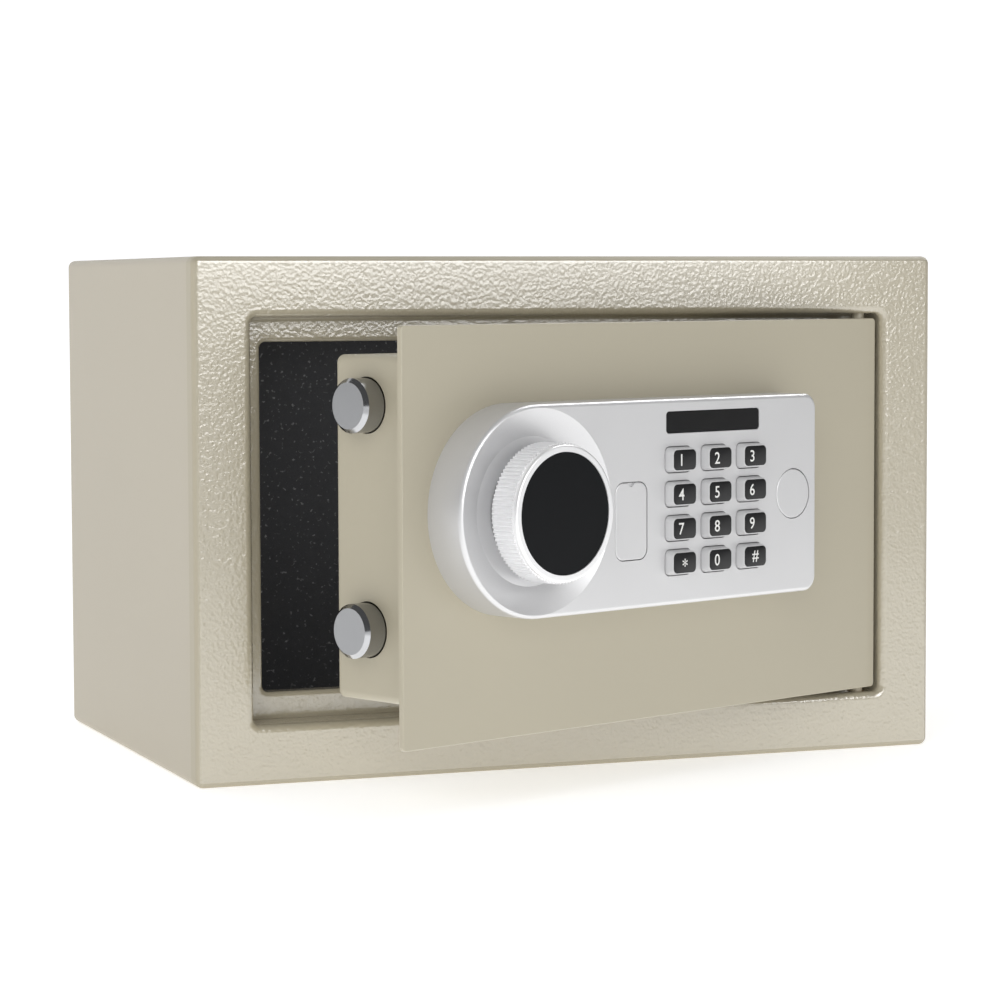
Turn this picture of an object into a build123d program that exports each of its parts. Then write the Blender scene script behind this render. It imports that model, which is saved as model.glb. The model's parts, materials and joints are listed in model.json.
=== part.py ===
from build123d import *
import os
from math import cos, radians, sin

# In room safe: a folded steel body, a hinged steel door with a keypad panel and a turning knob,
# two round locking bolts on a carriage, and the electronic lock inside the door.
# Frame: origin at the centre of the base, +X to the hinge side, -Y out of the front, +Z up.
# Door pieces are drawn with the door shut, then turned about the hinge to the resting opening.

# Body
width = 310.0
depth = 200.0
height = 200.0
sheet = 2.0
edge_radius = 3.0
outer_bend = 2.4
bend_radius = 3.0
border_left = 20.0
border_right = 19.0
border_top = 20.0
wall_corner = 2.5
lip_bend = 1.8
rim_length = 8.0
recess_depth = 18.0
lip_left = 8.5
lip_right = 10.0
lip_top = 9.5
lip_bottom = 10.0
return_length = 7.0
anchor_radius = 5.0
anchor_spacing = 180.0
washer_radius = 12.0
felt = 1.5
felt_gap = 0.5

front = -depth / 2
back = depth / 2
wrap_front = front + rim_length
left_wall = -width / 2 + border_left + bend_radius
right_wall = width / 2 - border_right - bend_radius
floor_wall = border_top + bend_radius
roof_wall = height - border_top - bend_radius
lip_front = front + recess_depth
lip_back = lip_front + sheet
return_back = lip_front + return_length

# Hinge
hinge_x = 125.4
hinge_y = front + 6.5
hinge_axis = Axis((hinge_x, hinge_y, 0), (0, 0, 1))
rest_opening = 23.0
pin_radius = 2.5
pin_overhang = 6.0
bush_radius = 3.3
bush_bore = pin_radius + 0.08
bush_flange = 4.3
bush_flange_height = 1.5
knuckle_length = 20.0
knuckle_width = 8.0
knuckle_back = 10.0
knuckle_corner = 2.0
pin_bevel = 0.5

# Door plate, drawn shut
plate_left = -129.6
plate_right = 129.4
plate_bottom = 25.0
plate_top = 175.0
plate_thickness = 2.0
plate_corner = 1.5
plate_edge = 0.5
plate_front = front + 0.5
plate_back = plate_front + plate_thickness

# Lock box on the back of the door
box_left = -110.5
box_right = 75.0
box_bottom = 37.5
box_top = 163.8
box_depth = 55.5
box_wall = 1.5
box_corner = 3.0
box_rear_round = 2.5
box_back = plate_back + box_depth
standoff_radius = 4.0
standoff_left = -45.0
standoff_right = 61.0
standoff_bottom = 47.0
standoff_top = 154.0
box_screw_radius = 2.0
box_screw_length = 10.0
box_screw_head = 3.8
box_screw_head_height = 2.2
box_screw_head_round = 1.0
cross_length = 4.0
cross_width = 0.9
cross_depth = 1.2
thread_gap = 1.0

# Control panel on the front of the door
panel_right = 73.0
panel_half_height = 38.5
panel_height_z = 108.0
panel_corner = 6.0
panel_depth = 17.0
panel_edge = 1.6
panel_wall = 2.5
panel_face = plate_front - panel_depth
drum_x = -79.0
dish_radius = 37.2
dish_floor_radius = 27.0
dish_drop = 4.0
dish_wall = 2.2
dish_back = panel_face + dish_drop + dish_wall
cut_over = 1.0
boss_radius = 3.5
boss_left = -47.5
boss_right = 51.0
boss_spread = 62.0
panel_screw_radius = 1.5
panel_screw_length = 9.0
panel_screw_head = 2.8
panel_screw_head_height = 2.0
panel_screw_head_round = 0.8

# Knob and its shaft
knob_lift = 0.5
knob_back = panel_face + dish_drop - knob_lift
knurl_back = panel_face - 1.7
knurl_front = panel_face - 11.5
knob_front = knurl_front - 2.0
skirt_radius = 20.0
knurl_radius = 25.2
knurl_count = 96
knurl_groove = 0.6
bezel_radius = 24.5
bezel_round = 0.8
disc_radius = 21.9
disc_pocket = 0.8
disc_thickness = 0.6
disc_gap = 0.1
disc_round = 0.2
knob_hub = 10.0
knob_pocket = 17.5
knob_web = 3.5
shaft_radius = 5.0
shaft_front = knob_front + 6.0
shaft_back = front + 16.0
shaft_hole = 7.5
shaft_bush_radius = 7.0
shaft_bush_bore = shaft_radius + 0.06
shaft_bush_flange = 9.0
shaft_bush_proud = 1.5

# Crank, carriage and bolts: a pin on the crank drives a slot in the carriage
knob_turn = 80.0
bolt_throw = 16.0
crank_radius = bolt_throw / 2 / sin(radians(knob_turn / 2))
crank_front = front + 12.0
crank_back = shaft_back
crank_hub = 8.0
crank_tip = 5.0
crank_pin_radius = 2.5
crank_pin_x = drum_x + crank_radius * sin(radians(knob_turn / 2))
crank_pin_z = panel_height_z + crank_radius * cos(radians(knob_turn / 2))
crank_pin_back = front + 26.0
crank_slot_gap = 0.4
crank_slot_length = 16.0
slot_end_gap = 0.01
crank_screw_radius = 1.5
crank_screw_length = 8.0
crank_screw_head = 3.5
crank_screw_head_height = 2.0
crank_washer_radius = 6.0
crank_washer_thickness = 1.0
carriage_front = front + 22.0
carriage_back = carriage_front + 2.5
carriage_left = -89.0
carriage_right = -3.0
carriage_bottom = 72.5
carriage_top = 138.0
leg_right = -55.0
ear_left = -70.0
ear_thickness = 3.0
bolt_radius = 10.0
bolt_tip = -119.5
bolt_bevel = 1.5
bolt_y = front + 40.5
bolt_heights = (63.8, 145.6)
bolt_hole = bolt_radius + 0.4
bolt_screw_radius = 2.0
bolt_screw_length = 12.0
bolt_screw_head = 4.0
bolt_screw_head_height = 3.0
bolt_screw_head_round = 0.8
guide_x = -30.0
guide_heights = (88.0, 130.0)
guide_radius = 3.0
guide_shoulder = 5.0
guide_gap = 0.3
guide_head = 2.0

# Solenoid that blocks the carriage
plunger_x = -25.0
plunger_y = (carriage_front + carriage_back) / 2
plunger_radius = 3.0
plunger_bottom = 52.0
plunger_top = 71.5
plunger_bevel = 0.5
notch_width = 7.0
notch_depth = 5.0
solenoid_width = 20.0
solenoid_bottom = 43.0
solenoid_top = 69.0
solenoid_sheet = 1.5
coil_radius = 8.0
coil_bore = plunger_radius + 0.4
bobbin_lip = 0.4
bobbin_flange = 1.0
spring_seat = 0.5
spring_bottom = 46.5
spring_radius = 2.3
spring_wire = 0.35
spring_turns = 5

# Keys
key_columns = 3
key_rows = 4
key_pitch_x = 19.75
key_pitch_z = 12.8
key_middle_x = 13.5
key_middle_z = 104.6
key_names = (("1", "2", "3"), ("4", "5", "6"), ("7", "8", "9"), ("star", "0", "hash"))
key_base_x = 13.8
key_base_z = 9.4
key_top_x = 12.7
key_top_z = 8.2
key_rise = 3.5
key_corner = 2.1
key_edge = 0.5
key_gap = 0.35
key_float = 0.2
key_flange_x = 15.4
key_flange_z = 10.8
key_flange_thickness = 1.0
key_stem_radius = 3.0
key_stem_length = 1.2

# Display, circuit board and keypad membrane
display_x = 13.3
display_z = 137.7
display_length = 52.0
display_height = 8.3
display_corner = 1.5
display_gap = 0.2
display_flange = 1.2
window_flange_thickness = 1.0
module_gap = 1.2
board_left = -42.0
board_right = 46.0
board_bottom = 74.0
board_top = 142.0
board_front = front - 9.0
board_thickness = 1.6
board_corner = 2.0
membrane_thickness = 1.2
dome_radius = 4.0
dome_height = 0.2
module_length = 50.0
module_height = 9.0

# Covers in the panel face
power_x = -31.4
power_z = 102.0
power_width = 16.7
power_height = 28.5
power_corner = 4.0
cover_thickness = 2.0
cover_gap = 0.3
cover_edge = 0.4
clip_depth = 1.2
clip_spread = 22.5
clip_width = 5.0
clip_thickness = 1.2
pry_radius = 1.6
pry_depth = 0.8
socket_width = 12.5
socket_height = 24.0
socket_depth = 3.5
socket_corner = 1.5
snap_spacing = 12.7
snap_radii = (2.8, 3.4)
snap_height = 1.0
snap_wall = 1.0
cap_x = 59.0
cap_z = panel_height_z
cap_radius = 9.5
cap_spigot = 7.5
cap_spigot_wall = 1.2

# Override cylinder behind the round cap
head_front = front - 12.5
head_thickness = 2.0
head_radius = 9.0
barrel_radius = 8.0
barrel_back = front + 24.0
plug_radius = 5.0
plug_bore = plug_radius + 0.05
plug_recess = 0.1
keyway_width = 1.4
keyway_height = 6.5
keyway_depth = 12.0
lock_nut_size = 11.5
lock_nut_thickness = 3.0
cam_thickness = 2.0
cam_gap = 0.3
cam_hub = 6.0
cam_tip = 3.0
cam_reach = 11.0

# Batteries, their tray and cover, and the reset button in the back of the lock box
tray_x = 27.0
tray_z = 108.0
cell_radius = 7.2
cell_length = 49.5
cell_terminal = 1.0
cell_terminal_radius = 2.75
cell_count = 4
cell_pitch = 14.7
tray_wall = 1.5
tray_corner = 1.5
cell_gap = 0.1
tray_front = front + 37.5
tray_inner_x = 52.0
tray_inner_z = 59.0
hatch_x = 50.0
hatch_z = 57.0
hatch_gap = 0.4
hatch_corner = 2.0
hatch_cover_x = 58.0
hatch_cover_z = 65.0
hatch_cover_thickness = 2.0
hatch_cover_corner = 3.0
hatch_cover_round = 0.8
reset_x = 30.0
reset_z = 151.0
reset_radius = 3.5
reset_bore = reset_radius + 0.4
reset_body = 12.0
reset_body_depth = 11.0
reset_body_corner = 1.0
reset_reach = 3.5
reset_round = 0.8
reset_proud = 1.5
lead_x = 20.0
lead_z = 90.0
lead_radius = 1.5
grommet_radius = 4.0
grommet_lip = 5.2
grommet_lip_thickness = 1.2


def at_depth(y):
    """Sketch plane that faces the front at a given depth, with its own x and y along X and Z."""
    return Plane.XZ.offset(-y)


def slab(x_low, x_high, z_low, z_high, y_near, y_far, corner=0.0, mode=Mode.ADD):
    """Rectangular slab between two depths, added to or cut from the current part."""
    with BuildSketch(at_depth(y_near)) as profile:
        with Locations(((x_low + x_high) / 2, (z_low + z_high) / 2)):
            if corner:
                RectangleRounded(x_high - x_low, z_high - z_low, corner)
            else:
                Rectangle(x_high - x_low, z_high - z_low)
    extrude(profile.sketch, amount=y_near - y_far, mode=mode)


def centred_slab(x, z, size_x, size_z, y_near, y_far, corner=0.0, mode=Mode.ADD):
    """The same slab, given by its centre and size."""
    slab(
        x - size_x / 2,
        x + size_x / 2,
        z - size_z / 2,
        z + size_z / 2,
        y_near,
        y_far,
        corner,
        mode,
    )


def disc(places, radius, y_near, y_far, mode=Mode.ADD):
    """Round bar or hole along Y at each (x, z) place."""
    with BuildSketch(at_depth(y_near)) as profile:
        with Locations(*places):
            Circle(radius)
    extrude(profile.sketch, amount=y_near - y_far, mode=mode)


def upright(places, radius, z_low, z_high, mode=Mode.ADD):
    """Round bar or hole along Z at each (x, y) place."""
    with BuildSketch(Plane.XY.offset(z_low)) as profile:
        with Locations(*places):
            Circle(radius)
    extrude(profile.sketch, amount=z_high - z_low, mode=mode)


def crosswise(places, radius, x_low, x_high, mode=Mode.ADD):
    """Round bar or hole along X at each (y, z) place."""
    with BuildSketch(Plane.YZ.offset(x_low)) as profile:
        with Locations(*places):
            Circle(radius)
    extrude(profile.sketch, amount=x_high - x_low, mode=mode)


def both_sides(middle, spread):
    """Two values at equal distances from a middle one."""
    return (middle - spread / 2, middle + spread / 2)


def corners(xs, zs):
    """Every pairing of the given x and z values."""
    return [(x, z) for x in xs for z in zs]


def make_body_wrap():
    """Folded sheet that makes the base, both sides and the roof, with the base anchor holes."""
    with BuildPart() as wrap:
        slab(-width / 2, width / 2, 0, height, wrap_front, back, edge_radius)
        slab(
            -width / 2 + sheet,
            width / 2 - sheet,
            sheet,
            height - sheet,
            wrap_front,
            back,
            edge_radius - sheet,
            Mode.SUBTRACT,
        )
        anchors = [(x, 0) for x in both_sides(0, anchor_spacing)]
        upright(anchors, anchor_radius, 0, sheet, Mode.SUBTRACT)
    return wrap.part


def make_front_frame():
    """Pressed front: outer flange, border, recess walls, door stop lip and its return."""
    with BuildPart() as frame:
        slab(-width / 2, width / 2, 0, height, front, wrap_front, edge_radius)
        front_face = frame.faces().sort_by(Axis.Y)[0]
        fillet(front_face.outer_wire().edges(), outer_bend)
        slab(
            -width / 2 + sheet,
            width / 2 - sheet,
            sheet,
            height - sheet,
            front + sheet,
            wrap_front,
            edge_radius - sheet,
            Mode.SUBTRACT,
        )
        slab(
            left_wall - sheet,
            right_wall + sheet,
            floor_wall - sheet,
            roof_wall + sheet,
            front + sheet,
            lip_back,
            wall_corner + sheet,
        )
        slab(
            left_wall + lip_left - sheet,
            right_wall - lip_right + sheet,
            floor_wall + lip_bottom - sheet,
            roof_wall - lip_top + sheet,
            lip_front,
            return_back,
            wall_corner + sheet,
        )
        slab(
            left_wall,
            right_wall,
            floor_wall,
            roof_wall,
            front,
            lip_front,
            wall_corner,
            Mode.SUBTRACT,
        )
        slab(
            left_wall + lip_left,
            right_wall - lip_right,
            floor_wall + lip_bottom,
            roof_wall - lip_top,
            lip_front,
            return_back,
            wall_corner,
            Mode.SUBTRACT,
        )
        front_face = frame.faces().sort_by(Axis.Y)[0]
        fillet(front_face.inner_wires()[0].edges(), bend_radius)
        flat_faces = frame.faces().filter_by(Plane.XZ)
        lip_face = flat_faces.filter_by_position(Axis.Y, lip_front - sheet / 2, lip_front + sheet / 2)[0]
        fillet(lip_face.outer_wire().edges() + lip_face.inner_wires()[0].edges(), lip_bend)
        upright([(hinge_x, hinge_y)], bush_radius, floor_wall - sheet, floor_wall, Mode.SUBTRACT)
        upright([(hinge_x, hinge_y)], bush_radius, roof_wall, roof_wall + sheet, Mode.SUBTRACT)
    return frame.part


def make_back_panel():
    """Flat sheet welded into the back of the body, with the wall anchor holes."""
    with BuildPart() as panel:
        slab(
            -width / 2 + sheet,
            width / 2 - sheet,
            sheet,
            height - sheet,
            back - sheet,
            back,
            edge_radius - sheet,
        )
        anchors = [(x, height / 2) for x in both_sides(0, anchor_spacing)]
        disc(anchors, anchor_radius, back - sheet, back, Mode.SUBTRACT)
    return panel.part


def make_back_lining():
    """Felt on the back panel, open around the wall anchors."""
    with BuildPart() as lining:
        slab(
            -width / 2 + sheet + felt_gap,
            width / 2 - sheet - felt_gap,
            sheet + felt + felt_gap,
            height - sheet - felt_gap,
            back - sheet - felt,
            back - sheet,
            edge_radius - sheet,
        )
        anchors = [(x, height / 2) for x in both_sides(0, anchor_spacing)]
        disc(anchors, washer_radius, back - sheet - felt, back - sheet, Mode.SUBTRACT)
    return lining.part


def make_floor_mat():
    """Loose felt mat on the base, open around the base anchors."""
    mat_front = wrap_front + felt_gap
    mat_back = back - sheet - felt_gap
    with BuildPart() as mat:
        with BuildSketch(Plane.XY.offset(sheet)):
            with Locations((0, (mat_front + mat_back) / 2)):
                Rectangle(width - 2 * edge_radius - felt_gap, mat_back - mat_front)
        extrude(amount=felt)
        anchors = [(x, 0) for x in both_sides(0, anchor_spacing)]
        upright(anchors, washer_radius, sheet, sheet + felt, Mode.SUBTRACT)
    return mat.part


def make_hinge_bushes():
    """Flanged bushes in the floor and roof of the recess that the hinge pins turn in."""
    place = [(hinge_x, hinge_y)]
    low = floor_wall - sheet
    high = roof_wall + sheet
    with BuildPart() as bushes:
        upright(place, bush_radius, low, floor_wall)
        upright(place, bush_flange, low - bush_flange_height, low)
        upright(place, bush_radius, roof_wall, high)
        upright(place, bush_flange, high, high + bush_flange_height)
        upright(place, bush_bore, low - bush_flange_height, high + bush_flange_height, Mode.SUBTRACT)
    return bushes.part


def make_hinge_knuckles():
    """Blocks welded behind the door plate that hold the hinge pins."""
    low = hinge_x - knuckle_width / 2
    high = hinge_x + knuckle_width / 2
    with BuildPart() as knuckles:
        slab(low, high, plate_bottom, plate_bottom + knuckle_length, plate_back, front + knuckle_back)
        slab(low, high, plate_top - knuckle_length, plate_top, plate_back, front + knuckle_back)
        rear_edges = knuckles.edges().filter_by(Axis.Z).group_by(Axis.Y)[-1]
        fillet(rear_edges, knuckle_corner)
        upright([(hinge_x, hinge_y)], pin_radius, plate_bottom, plate_top, Mode.SUBTRACT)
    return knuckles.part


def make_hinge_pins():
    """Short pins pressed into the knuckles, one down into the floor bush, one up into the roof bush."""
    place = [(hinge_x, hinge_y)]
    low = floor_wall - sheet - pin_overhang
    high = roof_wall + sheet + pin_overhang
    with BuildPart() as pins:
        upright(place, pin_radius, low, plate_bottom + knuckle_length)
        upright(place, pin_radius, plate_top - knuckle_length, high)
        ends = pins.edges().filter_by(GeomType.CIRCLE)
        chamfer(ends.group_by(Axis.Z)[0] + ends.group_by(Axis.Z)[-1], pin_bevel)
    return pins.part


def make_door_plate():
    """Flat door plate with the holes for the shaft, the override cylinder, the lead and the screws."""
    with BuildPart() as plate:
        slab(plate_left, plate_right, plate_bottom, plate_top, plate_front, plate_back, plate_corner)
        front_face = plate.faces().sort_by(Axis.Y)[0]
        fillet(front_face.outer_wire().edges(), plate_edge)
        disc([(drum_x, panel_height_z)], shaft_bush_radius, plate_front, plate_back, Mode.SUBTRACT)
        disc([(cap_x, cap_z)], barrel_radius, plate_front, plate_back, Mode.SUBTRACT)
        disc([(lead_x, lead_z)], grommet_radius, plate_front, plate_back, Mode.SUBTRACT)
        disc(boss_places(), panel_screw_radius, plate_front, plate_back, Mode.SUBTRACT)
    return plate.part


def boss_places():
    """Centres of the four panel fixings."""
    return corners((boss_left, boss_right), both_sides(panel_height_z, boss_spread))


def standoff_places():
    """Centres of the four posts that carry the lock box."""
    return corners((standoff_left, standoff_right), (standoff_bottom, standoff_top))


def make_standoffs():
    """Posts on the back of the door plate that the lock box is screwed to."""
    tip = box_back - box_wall
    with BuildPart() as posts:
        disc(standoff_places(), standoff_radius, plate_back, tip)
        hole_start = tip - box_screw_length
        disc(standoff_places(), box_screw_radius, hole_start, tip, Mode.SUBTRACT)
    return posts.part


def make_lock_box():
    """Sheet cover over the lock, with the bolt holes, the battery hatch and the reset hole."""
    with BuildPart() as box:
        slab(box_left, box_right, box_bottom, box_top, plate_back, box_back, box_corner)
        rear_face = box.faces().sort_by(Axis.Y)[-1]
        fillet(rear_face.outer_wire().edges(), box_rear_round)
        slab(
            box_left + box_wall,
            box_right - box_wall,
            box_bottom + box_wall,
            box_top - box_wall,
            plate_back,
            box_back - box_wall,
            box_corner - box_wall,
            Mode.SUBTRACT,
        )
        holes = [(bolt_y, z) for z in bolt_heights]
        crosswise(holes, bolt_hole, box_left, box_left + box_wall, Mode.SUBTRACT)
        inside = box_back - box_wall
        centred_slab(tray_x, tray_z, hatch_x, hatch_z, inside, box_back, hatch_corner, Mode.SUBTRACT)
        disc([(reset_x, reset_z)], reset_bore, inside, box_back, Mode.SUBTRACT)
        disc(standoff_places(), box_screw_radius, inside, box_back, Mode.SUBTRACT)
    return box.part


def make_lock_box_screws():
    """Pan head screws that hold the lock box to its posts."""
    with BuildPart() as screws:
        head_back = box_back + box_screw_head_height
        disc(standoff_places(), box_screw_head, box_back, head_back)
        fillet(screws.edges().group_by(Axis.Y)[-1], box_screw_head_round)
        tip = box_back - box_wall - box_screw_length + thread_gap
        disc(standoff_places(), box_screw_radius, tip, box_back)
        recess = head_back - cross_depth
        for size_x, size_z in ((cross_length, cross_width), (cross_width, cross_length)):
            for x, z in standoff_places():
                centred_slab(x, z, size_x, size_z, recess, head_back, 0.0, Mode.SUBTRACT)
    return screws.part


def panel_outline(inset):
    """Panel outline: a full round end about the knob and a squarer end by the hinge."""
    half = panel_half_height - inset
    right = panel_right - inset
    with Locations((drum_x, panel_height_z)):
        Circle(half)
    with Locations(((drum_x + right) / 2, panel_height_z)):
        Rectangle(right - drum_x, 2 * half)


def make_panel_housing():
    """Moulded panel: hollow shell with the knob dish, key holes, display slot and screw bosses."""
    with BuildPart() as housing:
        with BuildSketch(at_depth(plate_front)):
            panel_outline(0)
        extrude(amount=panel_depth)
        fillet(housing.edges().filter_by(Axis.Y).group_by(Axis.X)[-1], panel_corner)
        fillet(housing.faces().sort_by(Axis.Y)[0].outer_wire().edges(), panel_edge)
        with BuildSketch(Plane.XY.offset(panel_height_z)):
            with BuildLine():
                Polyline(
                    (drum_x, panel_face - cut_over),
                    (drum_x + dish_radius, panel_face - cut_over),
                    (drum_x + dish_radius, panel_face),
                    (drum_x + dish_floor_radius, panel_face + dish_drop),
                    (drum_x, panel_face + dish_drop),
                    close=True,
                )
            make_face()
        revolve(axis=Axis((drum_x, 0, panel_height_z), (0, 1, 0)), mode=Mode.SUBTRACT)
        with BuildSketch(at_depth(plate_front)):
            panel_outline(panel_wall)
        extrude(amount=plate_front - dish_back, mode=Mode.SUBTRACT)
        slab(
            drum_x + panel_half_height,
            panel_right - panel_wall,
            panel_height_z - panel_half_height + panel_wall,
            panel_height_z + panel_half_height - panel_wall,
            panel_face + panel_wall,
            plate_front,
            panel_corner - panel_wall,
            Mode.SUBTRACT,
        )
        disc(boss_places(), boss_radius, panel_face + panel_wall, plate_front)
        hole_front = plate_front - panel_screw_length
        disc(boss_places(), panel_screw_radius, hole_front, plate_front, Mode.SUBTRACT)
        knob_place = [(drum_x, panel_height_z)]
        disc(knob_place, shaft_hole, panel_face, plate_front, Mode.SUBTRACT)
        face_back = panel_face + panel_wall
        for x, z in key_places().values():
            hole_x = key_base_x + 2 * key_gap
            hole_z = key_base_z + 2 * key_gap
            corner = key_corner + key_gap
            centred_slab(x, z, hole_x, hole_z, panel_face, face_back, corner, Mode.SUBTRACT)
        centred_slab(
            display_x,
            display_z,
            display_length,
            display_height,
            panel_face,
            face_back,
            display_corner,
            Mode.SUBTRACT,
        )
        centred_slab(
            power_x,
            power_z,
            power_width + 2 * cover_gap,
            power_height + 2 * cover_gap,
            panel_face,
            face_back,
            power_corner + cover_gap,
            Mode.SUBTRACT,
        )
        disc([(cap_x, cap_z)], cap_radius + cover_gap, panel_face, face_back, Mode.SUBTRACT)
    return housing.part


def make_panel_screws():
    """Screws from the back of the door plate into the panel bosses."""
    with BuildPart() as screws:
        disc(boss_places(), panel_screw_head, plate_back, plate_back + panel_screw_head_height)
        fillet(screws.edges().group_by(Axis.Y)[-1], panel_screw_head_round)
        tip = plate_front - panel_screw_length + thread_gap
        disc(boss_places(), panel_screw_radius, tip, plate_back)
    return screws.part


def key_places():
    """Key name to the (x, z) centre of that key."""
    places = {}
    for row in range(key_rows):
        for column in range(key_columns):
            x = key_middle_x + (column - (key_columns - 1) / 2) * key_pitch_x
            z = key_middle_z - (row - (key_rows - 1) / 2) * key_pitch_z
            places[key_names[row][column]] = (x, z)
    return places


def make_key(x, z):
    """One key: a tapered cap above the panel face, a retaining flange and a stem on the membrane."""
    flange_front = panel_face + panel_wall + key_float
    flange_back = flange_front + key_flange_thickness
    with BuildPart() as key:
        with BuildSketch(at_depth(panel_face)):
            with Locations((x, z)):
                RectangleRounded(key_base_x, key_base_z, key_corner)
        with BuildSketch(at_depth(panel_face - key_rise)):
            with Locations((x, z)):
                RectangleRounded(key_top_x, key_top_z, key_corner)
        loft()
        fillet(key.faces().sort_by(Axis.Y)[0].outer_wire().edges(), key_edge)
        centred_slab(x, z, key_base_x, key_base_z, panel_face, flange_front, key_corner)
        centred_slab(x, z, key_flange_x, key_flange_z, flange_front, flange_back, key_corner)
        disc([(x, z)], key_stem_radius, flange_back, flange_back + key_stem_length)
    return key.part


def make_keypad_membrane():
    """Rubber sheet on the circuit board, with a raised dome under each key."""
    size_x = key_pitch_x * (key_columns - 1) + key_flange_x
    size_z = key_pitch_z * (key_rows - 1) + key_flange_z
    with BuildPart() as membrane:
        centred_slab(
            key_middle_x,
            key_middle_z,
            size_x,
            size_z,
            board_front - membrane_thickness,
            board_front,
            board_corner,
        )
        dome_back = board_front - membrane_thickness
        disc(key_places().values(), dome_radius, dome_back - dome_height, dome_back)
    return membrane.part


def make_circuit_board():
    """Flat board behind the keys and the display."""
    with BuildPart() as board:
        board_back = board_front + board_thickness
        slab(board_left, board_right, board_bottom, board_top, board_front, board_back, board_corner)
    return board.part


def make_display_window():
    """Smoked window in the display slot, with a flange behind the panel face."""
    face_back = panel_face + panel_wall
    with BuildPart() as window:
        centred_slab(
            display_x,
            display_z,
            display_length - 2 * display_gap,
            display_height - 2 * display_gap,
            panel_face + display_gap,
            face_back,
            display_corner - display_gap,
        )
        centred_slab(
            display_x,
            display_z,
            display_length + 2 * display_flange,
            display_height + 2 * display_flange,
            face_back,
            face_back + window_flange_thickness,
            display_corner,
        )
    return window.part


def make_display_module():
    """Digit display on the board, just behind the window."""
    with BuildPart() as module:
        module_front = panel_face + panel_wall + module_gap
        centred_slab(display_x, display_z, module_length, module_height, module_front, board_front)
    return module.part


def make_power_cover():
    """Flush cover over the emergency power contacts, with two clip legs and a pry notch."""
    face_back = panel_face + cover_thickness
    with BuildPart() as cover:
        centred_slab(power_x, power_z, power_width, power_height, panel_face, face_back, power_corner)
        fillet(cover.faces().sort_by(Axis.Y)[0].outer_wire().edges(), cover_edge)
        for z in both_sides(power_z, clip_spread):
            centred_slab(power_x, z, clip_width, clip_thickness, face_back, face_back + clip_depth)
        notch_z = power_z + power_height / 2
        disc([(power_x, notch_z)], pry_radius, panel_face, panel_face + pry_depth, Mode.SUBTRACT)
    return cover.part


def make_power_socket():
    """Contact block on the board for an outside 9 V battery."""
    socket_front = board_front - socket_depth
    with BuildPart() as socket:
        centred_slab(
            power_x,
            power_z,
            socket_width,
            socket_height,
            socket_front,
            board_front,
            socket_corner,
        )
        for z, radius in zip(both_sides(power_z, snap_spacing), snap_radii):
            disc([(power_x, z)], radius, socket_front - snap_height, socket_front)
            disc([(power_x, z)], radius - snap_wall, socket_front - snap_height, socket_front, Mode.SUBTRACT)
    return socket.part


def make_keyhole_cap():
    """Round cap in the panel face over the override cylinder."""
    face_back = panel_face + cover_thickness
    with BuildPart() as cap:
        disc([(cap_x, cap_z)], cap_radius, panel_face, face_back)
        fillet(cap.edges().group_by(Axis.Y)[0], cover_edge)
        disc([(cap_x, cap_z)], cap_spigot, face_back, face_back + clip_depth)
        bore = cap_spigot - cap_spigot_wall
        disc([(cap_x, cap_z)], bore, face_back, face_back + clip_depth, Mode.SUBTRACT)
    return cap.part


def make_cylinder_body():
    """Override cylinder body with its head, bored for the plug."""
    place = [(cap_x, cap_z)]
    with BuildPart() as body:
        disc(place, barrel_radius, head_front, barrel_back)
        disc(place, head_radius, head_front, head_front + head_thickness)
        disc(place, plug_bore, head_front, barrel_back, Mode.SUBTRACT)
    return body.part


def make_cylinder_nut():
    """Hexagon nut that clamps the cylinder to the door plate."""
    with BuildPart() as nut:
        with BuildSketch(at_depth(plate_back)):
            with Locations((cap_x, cap_z)):
                RegularPolygon(lock_nut_size, 6, major_radius=False)
                Circle(barrel_radius, mode=Mode.SUBTRACT)
        extrude(amount=-lock_nut_thickness)
    return nut.part


def make_cylinder_plug():
    """Turning plug of the override cylinder, with its keyway."""
    place = [(cap_x, cap_z)]
    plug_front = head_front + plug_recess
    with BuildPart() as plug:
        disc(place, plug_radius, plug_front, barrel_back + cam_gap)
        keyway_back = plug_front + keyway_depth
        centred_slab(
            cap_x, cap_z, keyway_width, keyway_height, plug_front, keyway_back, 0.0, Mode.SUBTRACT
        )
    return plug.part


def make_cylinder_cam():
    """Cam on the back of the plug that lifts the block off the carriage."""
    cam_front = barrel_back + cam_gap
    with BuildPart() as cam:
        with BuildSketch(at_depth(cam_front)):
            with Locations((cap_x, cap_z)):
                Circle(cam_hub)
            with Locations((cap_x, cap_z - cam_reach)):
                Circle(cam_tip)
            make_hull()
        extrude(amount=-cam_thickness)
    return cam.part


def make_knob():
    """Turning knob: plain skirt, knurled grip, front bezel, hub and the pocket for the disc."""
    place = [(drum_x, panel_height_z)]
    with BuildPart() as knob:
        disc(place, skirt_radius, knurl_back, knob_back)
        disc(place, knurl_radius, knurl_front, knurl_back)
        disc(place, bezel_radius, knob_front, knurl_front)
        fillet(knob.edges().group_by(Axis.Y)[0], bezel_round)
        with BuildSketch(at_depth(knurl_back)):
            with Locations((drum_x, panel_height_z)):
                with PolarLocations(knurl_radius, knurl_count):
                    Circle(knurl_groove)
        extrude(amount=knurl_back - knurl_front, mode=Mode.SUBTRACT)
        disc(place, disc_radius + disc_gap, knob_front, knob_front + disc_pocket, Mode.SUBTRACT)
        pocket_front = knob_front + knob_web
        with BuildSketch(at_depth(knob_back)):
            with Locations((drum_x, panel_height_z)):
                Circle(knob_pocket)
                Circle(knob_hub, mode=Mode.SUBTRACT)
        extrude(amount=knob_back - pocket_front, mode=Mode.SUBTRACT)
        disc(place, shaft_radius, shaft_front, knob_back, Mode.SUBTRACT)
    return knob.part


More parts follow.
